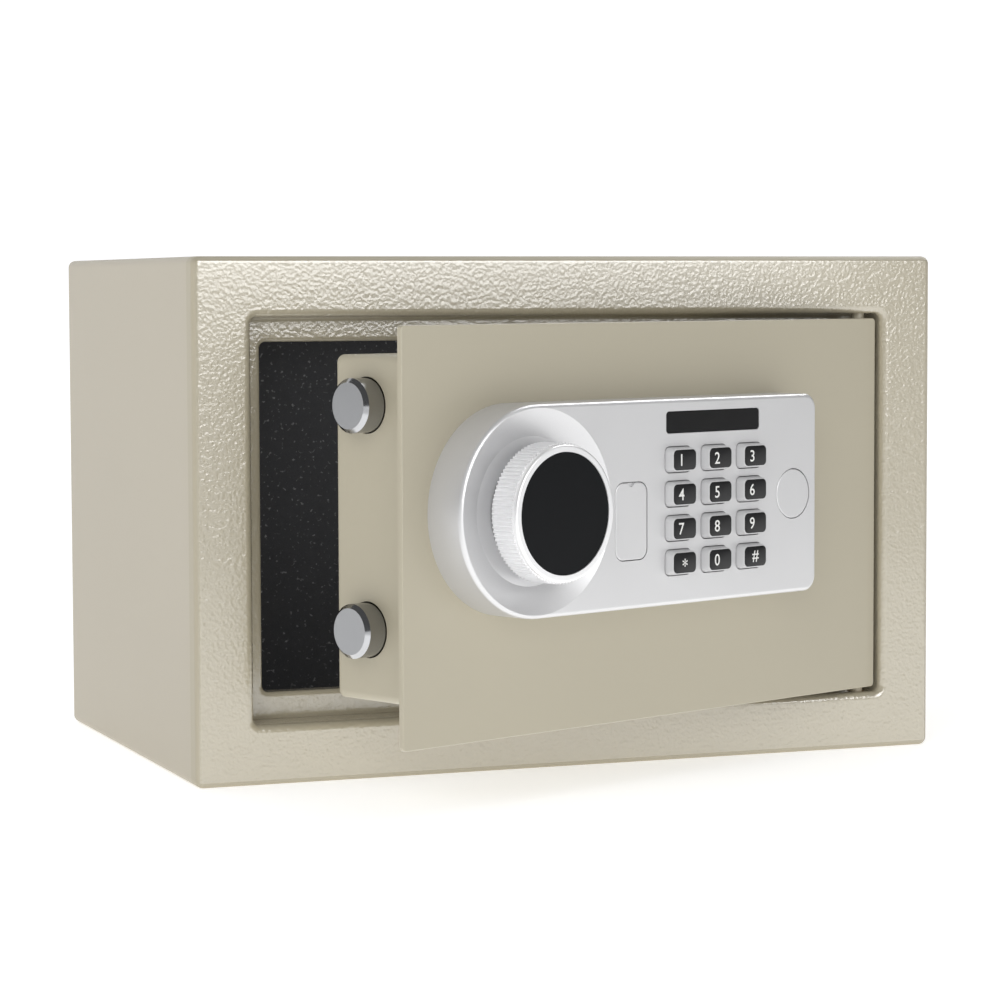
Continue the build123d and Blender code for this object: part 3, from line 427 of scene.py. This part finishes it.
GROUPS = {}
GROUP_MAKERS = {
    "powder_coat": make_peel_group,
    "flange_mask": make_rim_group,
    "moulded_grain": make_grain_group,
    "pressed_felt": make_felt_group,
    "metal_lines": make_lines_group,
    "turned_rings": make_rings_group,
}


def effect(tree, name, **values):
    """Places a shared node group, made on its first use, and sets its sockets."""
    if name not in GROUPS:
        GROUPS[name] = GROUP_MAKERS[name]()
    node = tree.nodes.new("ShaderNodeGroup")
    node.node_tree = GROUPS[name]
    for label, value in values.items():
        plug(tree, value, node.inputs[label.replace("_", " ")])
    return node


# Materials

FLANGE_DULLNESS = 0.35
RING_PITCH = 0.35 * MM
RING_GLOSS = 0.12

# Changes per metre of a metal's pattern, across its drawn lines and along them
ACROSS = 3000.0
ALONG = 40.0
SHEET_ALONG = 60.0
WIRE_ACROSS = 5200.0
UPRIGHT_LINES = (ACROSS, ALONG, ACROSS)


def start_material(name, on_door=False, centre=(0.0, 0.0, 0.0)):
    """New material, its shader and centred coordinates, which door pieces get as if the door were shut."""
    made = bpy.data.materials.new(name)
    made.use_nodes = True
    tree = made.node_tree
    shader = tree.nodes["Principled BSDF"]
    source = tree.nodes.new("ShaderNodeTexCoord")
    mapping = tree.nodes.new("ShaderNodeMapping")
    back = door_back if on_door else Matrix.Identity(4)
    mapping.inputs["Rotation"].default_value = back.to_euler()
    mapping.inputs["Location"].default_value = back.translation - Vector(centre)
    tree.links.new(source.outputs["Object"], mapping.inputs["Vector"])
    return made, tree, shader, mapping.outputs["Vector"]


def opaque(colour):
    """Colour with full alpha."""
    return (*colour, 1.0)


def bump(tree, shader, height, depth):
    """Raises the surface by a height pattern. Depth is in metres."""
    node = tree.nodes.new("ShaderNodeBump")
    node.inputs["Strength"].default_value = 1.0
    node.inputs["Distance"].default_value = depth
    tree.links.new(height, node.inputs["Height"])
    tree.links.new(node.outputs["Normal"], shader.inputs["Normal"])


def set_shader(shader, **values):
    """Sets plain values on the shader's own sockets."""
    for label, value in values.items():
        shader.inputs[label.replace("_", " ").title().replace("Ior", "IOR")].default_value = value


def wear_skin(tree, shader, skin, depth):
    """Joins a group's colour, roughness and height to the shader."""
    tree.links.new(skin.outputs["Color"], shader.inputs["Base Color"])
    tree.links.new(skin.outputs["Roughness"], shader.inputs["Roughness"])
    bump(tree, shader, skin.outputs["Height"], depth)


def paint_material(name, colour, pebble, depth, gloss, drift, on_door=False):
    """Powder coated steel."""
    made, tree, shader, vector = start_material(name, on_door)
    values = {"Color": opaque(colour), "Pebble": pebble, "Drift": drift, "Gloss": gloss}
    wear_skin(tree, shader, effect(tree, "powder_coat", Vector=vector, **values), depth)
    return made


def pressed_front_material(name, paint):
    """Glossy pebbled coat of the pressed front, smooth and duller on its outer flange."""
    low, high = corners([vertex.co for vertex in frame["nodes"]["front_frame"].data.vertices])
    half = (high - low) / 2
    made, tree, shader, vector = start_material(name, centre=(low + high) / 2)
    values = {"Color": opaque(paint.frame), "Pebble": paint.peel_size, "Gloss": 0.2}
    skin = effect(tree, "powder_coat", Vector=vector, **values)
    mask = effect(tree, "flange_mask", Vector=vector, Half_Width=half.x, Half_Height=half.z).outputs["Mask"]
    tree.links.new(skin.outputs["Color"], shader.inputs["Base Color"])
    dull = maths(tree, "MULTIPLY_ADD", mask, -FLANGE_DULLNESS, FLANGE_DULLNESS)
    tree.links.new(maths(tree, "ADD", skin.outputs["Roughness"], dull), shader.inputs["Roughness"])
    tree.links.new(mask, shader.inputs["Coat Weight"])
    bump(tree, shader, maths(tree, "MULTIPLY", skin.outputs["Height"], mask), paint.peel_depth)
    set_shader(shader, coat_roughness=0.12, specular_ior_level=0.9)
    return made


def plastic_material(name, colour, grain, depth, gloss, on_door=True, metallic=0.0, fleck=0.03, shine=0.5):
    """Moulded plastic, plain or with silver paint."""
    made, tree, shader, vector = start_material(name, on_door)
    values = {"Color": opaque(colour), "Grain": grain, "Gloss": gloss, "Fleck": fleck}
    wear_skin(tree, shader, effect(tree, "moulded_grain", Vector=vector, **values), depth)
    set_shader(shader, metallic=metallic, specular_ior_level=shine)
    return made


def metal_material(name, colour, gloss, lines=UPRIGHT_LINES, depth=0.003 * MM, wear=0.1, on_door=True):
    """Bare or plated metal with drawn lines."""
    made, tree, shader, vector = start_material(name, on_door)
    values = {"Color": opaque(colour), "Stretch": lines, "Gloss": gloss, "Wear": wear}
    wear_skin(tree, shader, effect(tree, "metal_lines", Vector=vector, **values), depth)
    set_shader(shader, metallic=1.0)
    return made


def felt_material(name, colour, fleck_colour, fleck_share, depth):
    """Pressed felt with flecks."""
    made, tree, shader, vector = start_material(name)
    values = {"Color": opaque(colour), "Fleck_Color": opaque(fleck_colour), "Fleck_Share": fleck_share}
    skin = effect(tree, "pressed_felt", Vector=vector, **values)
    tree.links.new(skin.outputs["Color"], shader.inputs["Base Color"])
    bump(tree, shader, skin.outputs["Height"], depth)
    set_shader(shader, roughness=0.95, sheen_weight=0.25, sheen_roughness=0.6, specular_ior_level=0.15)
    return made


def disc_material(name, colour):
    """Black disc with fine turned rings under a clear skin."""
    made, tree, shader, vector = start_material(name, True, knob_middle)
    rings = effect(tree, "turned_rings", Vector=vector, Pitch=RING_PITCH)
    values = {"Color": opaque(colour), "Grain": 0.4 * MM, "Gloss": 0.42, "Fleck": 0.05}
    grain = effect(tree, "moulded_grain", Vector=vector, **values)
    tree.links.new(grain.outputs["Color"], shader.inputs["Base Color"])
    rough = maths(tree, "MULTIPLY_ADD", rings.outputs["Variation"], RING_GLOSS, grain.outputs["Roughness"])
    tree.links.new(rough, shader.inputs["Roughness"])
    bump(tree, shader, rings.outputs["Height"], 0.004 * MM)
    set_shader(shader, specular_ior_level=0.12)
    return made


def dress(material, *nodes):
    """Gives CAD nodes a material."""
    for node in nodes:
        piece = frame["nodes"][node]
        if not piece.material_slots:
            piece.data.materials.append(material)
        for slot in piece.material_slots:
            slot.link = "OBJECT"
            slot.material = material


# Pieces

WELD_DISTANCE = 0.001 * MM
EDGE_TOLERANCE = 0.01 * MM
SMOOTH_ANGLE = radians(30)


def finish_piece(name, mesh_maker, place, material, body):
    """Makes an object from bmesh work, puts its place in its mesh, and lets it ride on its body."""
    work = bmesh.new()
    mesh_maker(work)
    bmesh.ops.remove_doubles(work, verts=work.verts, dist=WELD_DISTANCE)
    bmesh.ops.recalc_face_normals(work, faces=work.faces)
    bmesh.ops.transform(work, matrix=place, verts=work.verts)
    mesh = bpy.data.meshes.new(name)
    work.to_mesh(mesh)
    work.free()
    mesh.shade_smooth()
    mesh.set_sharp_from_angle(angle=SMOOTH_ANGLE)
    mesh.materials.append(material)
    piece = bpy.data.objects.new(name, mesh)
    bpy.context.scene.collection.objects.link(piece)
    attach(piece, body)
    return piece


def front_face(work):
    """Face that lies furthest to the front."""
    return min(work.faces, key=lambda face: face.calc_center_median().y)


def round_block(work, size_x, size_z, near, far, corner, segments=5):
    """Block between two depths, centred on the Y axis, with its four long edges rounded."""
    block = bmesh.ops.create_cube(work, size=1.0)["verts"]
    bmesh.ops.scale(work, vec=(size_x, far - near, size_z), verts=block)
    bmesh.ops.translate(work, vec=(0, (near + far) / 2, 0), verts=block)
    along = {edge for vertex in block for edge in vertex.link_edges}
    along = [edge for edge in along if abs(edge.verts[0].co.y - edge.verts[1].co.y) > EDGE_TOLERANCE]
    round_edges(work, along, corner, segments)


def round_edges(work, edges, radius, segments):
    """Rounds some edges."""
    bmesh.ops.bevel(
        work, geom=edges, offset=radius, segments=segments, profile=0.5, affect="EDGES", material=-1
    )


def round_front(work, radius, segments=3):
    """Rounds the edge of the front face."""
    round_edges(work, list(front_face(work).edges), radius, segments)


# The key's outline and its rise above the panel come from the frame. Depths run back from the panel's face.
KEY_RISE = panel_face - key_low.y
KEY_FLANGE = (key_size.x, key_size.z)
KEY_FLANGE_THICKNESS = 1.0 * MM
KEY_STEM_LENGTH = 1.2 * MM
KEY_STEM_RADIUS = 3.0 * MM
KEY_STEM_SIDES = 24
KEY_FLANGE_FRONT = key_size.y - KEY_RISE - KEY_FLANGE_THICKNESS - KEY_STEM_LENGTH
KEY_FLANGE_BACK = KEY_FLANGE_FRONT + KEY_FLANGE_THICKNESS
KEY_TOP = (12.7 * MM, 8.2 * MM)
KEY_BASE = (13.8 * MM, 9.4 * MM)
KEY_CORNER = 2.1 * MM
FACE_MARGIN = 0.05 * MM
FACE_PROUD = 0.12 * MM
CENTRED_MARKS = "*#"
STAR_SHARE = 0.7
MARK_THICKNESS = 0.04 * MM
MARK_SHIFT = -1.9 * MM

# Thickening, depth and curve steps of a letter before it is scaled to its height
LETTER_OFFSET = 0.004
LETTER_DEPTH = 0.01
LETTER_STEPS = 4


def make_key_body(edge):
    """Tapered key with a rounded front edge, a retaining flange and a stem."""

    def shape(work):
        round_block(work, *KEY_BASE, -KEY_RISE, 0.0, KEY_CORNER)
        top = list(front_face(work).verts)
        taper = (KEY_TOP[0] / KEY_BASE[0], 1.0, KEY_TOP[1] / KEY_BASE[1])
        bmesh.ops.scale(work, vec=taper, verts=top)
        round_front(work, edge)
        round_block(work, *KEY_BASE, 0.0, KEY_FLANGE_FRONT, KEY_CORNER)
        round_block(work, *KEY_FLANGE, KEY_FLANGE_FRONT, KEY_FLANGE_BACK, KEY_CORNER)
        stem_middle = Matrix.Translation((0, KEY_FLANGE_BACK + KEY_STEM_LENGTH / 2, 0))
        bmesh.ops.create_cone(
            work,
            cap_ends=True,
            segments=KEY_STEM_SIDES,
            radius1=KEY_STEM_RADIUS,
            radius2=KEY_STEM_RADIUS,
            depth=KEY_STEM_LENGTH,
            matrix=stem_middle @ Matrix.Rotation(pi / 2, 4, "X"),
        )

    return shape


def make_key_face(edge):
    """Thin dark face that lies in the key's front."""

    def shape(work):
        size_x = KEY_TOP[0] - 2 * (edge + FACE_MARGIN)
        size_z = KEY_TOP[1] - 2 * (edge + FACE_MARGIN)
        round_block(work, size_x, size_z, -KEY_RISE - FACE_PROUD, -KEY_RISE, KEY_CORNER - edge)
        round_front(work, FACE_PROUD / 2, 2)

    return shape


def make_mark(text, height):
    """Printed mark as a thin raised mesh. A digit stands a little left of the key's middle."""

    def shape(work):
        curve = bpy.data.curves.new("mark", "FONT")
        curve.body = text
        curve.offset = LETTER_OFFSET
        curve.extrude = LETTER_DEPTH
        curve.resolution_u = LETTER_STEPS
        curve.align_x = "CENTER"
        holder = bpy.data.objects.new("mark", curve)
        bpy.context.scene.collection.objects.link(holder)
        bpy.context.view_layer.update()
        mesh = bpy.data.meshes.new_from_object(holder)
        bpy.data.objects.remove(holder)
        bpy.data.curves.remove(curve)
        work.from_mesh(mesh)
        bpy.data.meshes.remove(mesh)
        low, high = corners([vertex.co for vertex in work.verts])
        share = STAR_SHARE if text == "*" else 1.0
        size = height * share / (high.y - low.y)
        bmesh.ops.translate(work, vec=-(low + high) / 2, verts=work.verts)
        bmesh.ops.scale(work, vec=(size, size, MARK_THICKNESS / (high.z - low.z)), verts=work.verts)
        bmesh.ops.transform(work, matrix=Matrix.Rotation(pi / 2, 4, "X"), verts=work.verts)
        front = -KEY_RISE - FACE_PROUD - MARK_THICKNESS / 2
        shift = 0.0 if text in CENTRED_MARKS else MARK_SHIFT
        bmesh.ops.translate(work, vec=(shift, front, 0), verts=work.verts)

    return shape


class SAFE_OT_shell(bpy.types.Operator):
    """Paint the body, its back panel and the pressed front frame"""

    bl_idname = "safe.shell"
    bl_label = "Body and front frame"

    def execute(self, context):
        paint = context.scene.safe_paint
        shell = paint_material("shell_paint", paint.shell, 0.9 * MM, 0.02 * MM, gloss=0.42, drift=0.05)
        dress(shell, "body_wrap", "back_panel")
        dress(pressed_front_material("frame_paint", paint), "front_frame")
        dress(metal_material("bush_bronze", tint(176, 140, 92), 0.35, on_door=False), "hinge_bushes")
        return {"FINISHED"}


class SAFE_OT_lining(bpy.types.Operator):
    """Give the back lining and the floor mat their felt"""

    bl_idname = "safe.lining"
    bl_label = "Felt lining"

    def execute(self, context):
        paint = context.scene.safe_paint
        black = felt_material("black_felt", paint.black_felt, tint(150, 150, 153), 0.3, 0.3 * MM)
        grey = felt_material("grey_felt", paint.grey_felt, tint(212, 214, 220), 0.6, 0.3 * MM)
        dress(black, "back_lining")
        dress(grey, "floor_mat")
        return {"FINISHED"}


class SAFE_OT_door(bpy.types.Operator):
    """Paint the door, its hinge blocks and the lock box"""

    bl_idname = "safe.door"
    bl_label = "Door and lock box"

    def execute(self, context):
        paint = context.scene.safe_paint
        door = paint_material(
            "door_paint", paint.door, 0.8 * MM, 0.012 * MM, gloss=0.45, drift=0.02, on_door=True
        )
        dress(door, "door_plate", "hinge_knuckles", "lock_box", "hinge_pins")
        screws = metal_material("screw_zinc", tint(178, 180, 182), 0.3)
        dress(screws, "lock_box_screws", "panel_screws", "lock_box_posts", "bolt_screws", "crank_screw")
        return {"FINISHED"}


class SAFE_OT_panel(bpy.types.Operator):
    """Finish the control panel, its covers and the knob"""

    bl_idname = "safe.panel"
    bl_label = "Panel and knob"

    def execute(self, context):
        panel = context.scene.safe_panel
        silver = plastic_material(
            "silver_plastic", panel.silver, 0.25 * MM, 0.004 * MM, gloss=0.36, metallic=0.35, fleck=0.08
        )
        dress(silver, "panel_housing", "power_cover", "keyhole_cap")
        grip = plastic_material(
            "knob_silver", panel.knob, 0.2 * MM, 0.003 * MM, gloss=0.3, metallic=0.4, fleck=0.06
        )
        dress(grip, "knob")
        dress(disc_material("knob_black", panel.disc), "knob_disc")
        smoked = plastic_material(
            "smoked_window", tint(18, 18, 19), 2 * MM, 0.002 * MM, gloss=0.13, fleck=0.1, shine=0.2
        )
        dress(smoked, "display_window")
        return {"FINISHED"}


class SAFE_OT_keys(bpy.types.Operator):
    """Make the twelve keys with their dark faces and printed marks"""

    bl_idname = "safe.keys"
    bl_label = "Keys"

    def execute(self, context):
        panel = context.scene.safe_panel
        body = plastic_material("key_grey", panel.key_body, 0.25 * MM, 0.004 * MM, 0.4)
        face = plastic_material("key_black", panel.key_face, 0.3 * MM, 0.004 * MM, 0.34, shine=0.2)
        ink = plastic_material("key_print", panel.mark, 0.2 * MM, 0.002 * MM, 0.55)
        for name in KEY_NAMES:
            node = f"key_{name}"
            middle = shut_middle(node)
            place = door_turn @ Matrix.Translation((middle.x, panel_face, middle.z))
            cap = finish_piece(f"{node}_cap", make_key_body(panel.key_edge), place, body, node)
            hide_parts(node)
            finish_piece(f"{node}_face", make_key_face(panel.key_edge), place, face, node)
            mark = make_mark(KEY_MARKS.get(name, name), panel.digit_height)
            finish_piece(f"{node}_mark", mark, place, ink, node)
        return {"FINISHED"}


class SAFE_OT_bolts(bpy.types.Operator):
    """Finish the chromed locking bolts and the sliding parts of the lock"""

    bl_idname = "safe.bolts"
    bl_label = "Bolts and lock"

    def execute(self, context):
        chrome = metal_material(
            "bolt_chrome", tint(158, 159, 161), 0.16, (ACROSS, ACROSS, ACROSS), 0.001 * MM, wear=0.05
        )
        dress(chrome, "locking_bolts")
        zinc = metal_material("zinc_steel", tint(170, 172, 168), 0.38, (SHEET_ALONG, ACROSS, ACROSS))
        dress(zinc, "bolt_carriage", "drive_crank", "solenoid_frame", "guide_studs")
        steel = metal_material("bright_steel", tint(160, 162, 165), 0.25)
        dress(steel, "knob_shaft", "solenoid_plunger", "solenoid_spring", "cylinder_cam", "cylinder_nut")
        brass = metal_material("brass", tint(196, 160, 84), 0.3)
        dress(brass, "cylinder_plug", "cylinder_body", "shaft_bush")
        turns = (ALONG, ALONG, WIRE_ACROSS)
        copper = metal_material("copper_winding", tint(176, 96, 52), 0.35, turns, 0.03 * MM)
        dress(copper, "solenoid_coil")
        return {"FINISHED"}


class SAFE_OT_electronics(bpy.types.Operator):
    """Finish the board, the batteries and the small parts of the lock"""

    bl_idname = "safe.electronics"
    bl_label = "Electronics and batteries"

    def execute(self, context):
        board = plastic_material("board_green", tint(32, 92, 56), 0.6 * MM, 0.01 * MM, 0.3)
        dress(board, "circuit_board")
        rubber = plastic_material("grey_rubber", tint(120, 122, 124), 0.4 * MM, 0.01 * MM, 0.7)
        dress(rubber, "keypad_membrane")
        black_rubber = plastic_material("black_rubber", tint(30, 30, 31), 0.4 * MM, 0.008 * MM, 0.6)
        dress(black_rubber, "lead_grommet", "battery_lead")
        black = plastic_material("black_plastic", tint(34, 34, 36), 0.35 * MM, 0.01 * MM, 0.45)
        dress(black, "display_module", "power_socket", "battery_tray", "battery_cover", "reset_switch")
        dress(plastic_material("red_plastic", tint(176, 34, 30), 0.3 * MM, 0.004 * MM, 0.35), "reset_button")
        jacket = plastic_material(
            "battery_jacket", tint(60, 92, 70), 0.4 * MM, 0.002 * MM, gloss=0.25, metallic=0.3
        )
        dress(jacket, "batteries")
        return {"FINISHED"}


# Stage

CAMERA_PLACE = (-0.46582, -1.23558, 0.18824)
CAMERA_YAW = 20.88
CAMERA_DIP = 3.88
CAMERA_ROLL = -0.2
SENSOR_WIDTH = 36
NEAREST_SEEN = 0.05
FLOOR_HALF = 7.0
FLOOR_BACK = 2.6
FLOOR_GLOW = 0.5
SWEEP_RADIUS = 1.5
SWEEP_STEPS = 12
BACKDROP_RISE = 3.5


def camera_turn():
    """Camera axes from its yaw, dip and roll."""
    yaw, dip, roll = (radians(value) for value in (CAMERA_YAW, CAMERA_DIP, CAMERA_ROLL))
    look = Vector((sin(yaw) * cos(dip), cos(yaw) * cos(dip), -sin(dip)))
    right = Vector((cos(yaw), -sin(yaw), 0))
    up = right.cross(look)
    turned_right = right * cos(roll) + up * sin(roll)
    turned_up = up * cos(roll) - right * sin(roll)
    return Matrix((turned_right, turned_up, -look)).transposed().to_4x4()


def extrude_rear(work, edges):
    """Extrudes the rear edge of the floor, and gives the new edges and points."""
    made = bmesh.ops.extrude_edge_only(work, edges=edges)["geom"]
    new_edges = [item for item in made if isinstance(item, bmesh.types.BMEdge)]
    new_points = [item for item in made if isinstance(item, bmesh.types.BMVert)]
    return new_edges, new_points


def make_floor_mesh():
    """Flat floor that sweeps up behind into an upright backdrop."""
    work = bmesh.new()
    floor_points = bmesh.ops.create_grid(work, x_segments=1, y_segments=1, size=1.0)["verts"]
    bmesh.ops.scale(work, vec=(FLOOR_HALF, (FLOOR_BACK + FLOOR_HALF) / 2, 1), verts=floor_points)
    bmesh.ops.translate(work, vec=(0, (FLOOR_BACK - FLOOR_HALF) / 2, 0), verts=floor_points)
    rear = [edge for edge in work.edges if min(vertex.co.y for vertex in edge.verts) > FLOOR_BACK - MM]
    turn = Matrix.Rotation(pi / 2 / SWEEP_STEPS, 4, "X")
    middle_of_sweep = Vector((0, FLOOR_BACK, SWEEP_RADIUS))
    for step in range(SWEEP_STEPS):
        rear, moved = extrude_rear(work, rear)
        bmesh.ops.rotate(work, cent=middle_of_sweep, matrix=turn, verts=moved)
    rear, moved = extrude_rear(work, rear)
    bmesh.ops.translate(work, vec=(0, 0, BACKDROP_RISE), verts=moved)
    bmesh.ops.recalc_face_normals(work, faces=work.faces)
    mesh = bpy.data.meshes.new("studio_floor")
    work.to_mesh(mesh)
    work.free()
    mesh.shade_smooth()
    return mesh


def floor_material(colour):
    """Pale floor with a faint glow of its own."""
    made, tree, shader, vector = start_material("studio_floor")
    values = {"Color": opaque(colour), "Grain": 4 * MM, "Gloss": 0.8, "Fleck": 0.004}
    grain = effect(tree, "moulded_grain", Vector=vector, **values)
    tree.links.new(grain.outputs["Color"], shader.inputs["Base Color"])
    tree.links.new(grain.outputs["Roughness"], shader.inputs["Roughness"])
    set_shader(shader, specular_ior_level=0.1, emission_color=opaque(colour), emission_strength=FLOOR_GLOW)
    return made


def make_light(name, power, size, place, aim, matt=True, gloss=True):
    """Square soft light that faces a point, and lights matt surfaces, shows in gloss, or both."""
    data = bpy.data.lights.new(name, "AREA")
    data.shape = "SQUARE"
    data.size = size
    data.energy = power
    light = bpy.data.objects.new(name, data)
    light.location = place
    light.rotation_euler = (Vector(aim) - Vector(place)).to_track_quat("-Z", "Y").to_euler()
    light.visible_camera = False
    light.visible_diffuse = matt
    light.visible_glossy = gloss
    bpy.context.scene.collection.objects.link(light)


def make_lights(stage):
    """Lights around the safe, a small one under its roof, and a low panel in front that gloss mirrors."""
    middle = (cad_low + cad_high) / 2
    make_light("key_light", stage.key_power, 1.6, place=(-1.7, -1.5, 1.7), aim=middle, gloss=False)
    make_light("right_light", stage.side_power, 0.9, place=(1.5, -1.5, 0.7), aim=middle)
    make_light("front_light", stage.front_power, 1.2, place=(-0.75, -1.9, 0.55), aim=middle, gloss=False)
    make_light("gloss_light", stage.gloss_power, 0.8, place=(0.32, -1.3, 0.58), aim=middle, matt=False)
    make_light("inside_light", stage.inside_power, 0.15, place=(0, 0, 0.175), aim=(0, 0, 0), gloss=False)
    low_place, above = Vector((0.15, -0.5, 0.002)), Vector((0.15, -0.5, 1))
    make_light("ground_light", stage.ground_power, 0.8, place=low_place, aim=above, matt=False)
    make_light("top_light", stage.top_power, 0.7, place=(0.95, 0.26, 1.35), aim=middle, matt=False)


def make_surroundings(stage):
    """White world with its own strength for the camera, for gloss and for even light."""
    world = bpy.data.worlds.new("studio")
    world.use_nodes = True
    tree = world.node_tree
    background = tree.nodes["Background"]
    background.inputs["Color"].default_value = (1, 1, 1, 1)
    rays = tree.nodes.new("ShaderNodeLightPath")
    seen = maths(tree, "MULTIPLY", rays.outputs["Is Camera Ray"], 1 - stage.fill)
    mirrored = maths(tree, "MULTIPLY", rays.outputs["Is Glossy Ray"], stage.mirror_fill - stage.fill)
    strength = maths(tree, "ADD", maths(tree, "ADD", seen, mirrored), stage.fill)
    tree.links.new(strength, background.inputs["Strength"])
    return world


def make_camera(lens):
    """Camera in front of the safe and to its left, at about the height of its top."""
    data = bpy.data.cameras.new("camera")
    data.lens = lens
    data.sensor_width = SENSOR_WIDTH
    data.clip_start = NEAREST_SEEN
    camera = bpy.data.objects.new("camera", data)
    camera.matrix_world = Matrix.Translation(CAMERA_PLACE) @ camera_turn()
    bpy.context.scene.collection.objects.link(camera)
    return camera


class SAFE_OT_stage(bpy.types.Operator):
    """Make the pale floor, the soft lights and the camera"""

    bl_idname = "safe.stage"
    bl_label = "Floor, lights and camera"

    def execute(self, context):
        stage = context.scene.safe_stage
        mesh = make_floor_mesh()
        mesh.materials.append(floor_material(stage.floor))
        floor = bpy.data.objects.new("studio_floor", mesh)
        context.scene.collection.objects.link(floor)
        make_lights(stage)
        context.scene.world = make_surroundings(stage)
        context.scene.camera = make_camera(stage.lens)
        context.scene.view_settings.view_transform = "Standard"
        return {"FINISHED"}


OPERATORS = (
    SAFE_OT_shell,
    SAFE_OT_lining,
    SAFE_OT_door,
    SAFE_OT_panel,
    SAFE_OT_keys,
    SAFE_OT_bolts,
    SAFE_OT_electronics,
    SAFE_OT_stage,
)


class SAFE_PT_tools(bpy.types.Panel):
    """Lists the settings and the steps that make the safe"""

    bl_idname = "SAFE_PT_tools"
    bl_label = "In Room Safe"
    bl_space_type = "VIEW_3D"
    bl_region_type = "UI"
    bl_category = "In Room Safe"

    def draw(self, context):
        for group in SETTING_GROUPS:
            settings = getattr(context.scene, group)
            for name in settings.bl_rna.properties.keys():
                if name not in ("rna_type", "name"):
                    self.layout.prop(settings, name)
        for operator in OPERATORS:
            self.layout.operator(operator.bl_idname)


def register():
    """Registers the settings, the operators and the panel."""
    for name, settings in SETTING_GROUPS.items():
        bpy.utils.register_class(settings)
        setattr(bpy.types.Scene, name, PointerProperty(type=settings))
    for item in (*OPERATORS, SAFE_PT_tools):
        bpy.utils.register_class(item)


def unregister():
    """Takes the panel, the operators and the settings away again."""
    for item in (SAFE_PT_tools, *reversed(OPERATORS)):
        bpy.utils.unregister_class(item)
    for name, settings in SETTING_GROUPS.items():
        delattr(bpy.types.Scene, name)
        bpy.utils.unregister_class(settings)


def main():
    """Makes every piece."""
    register()
    for operator in OPERATORS:
        group, name = operator.bl_idname.split(".")
        getattr(getattr(bpy.ops, group), name)()


if __name__ == "__main__":
    main()
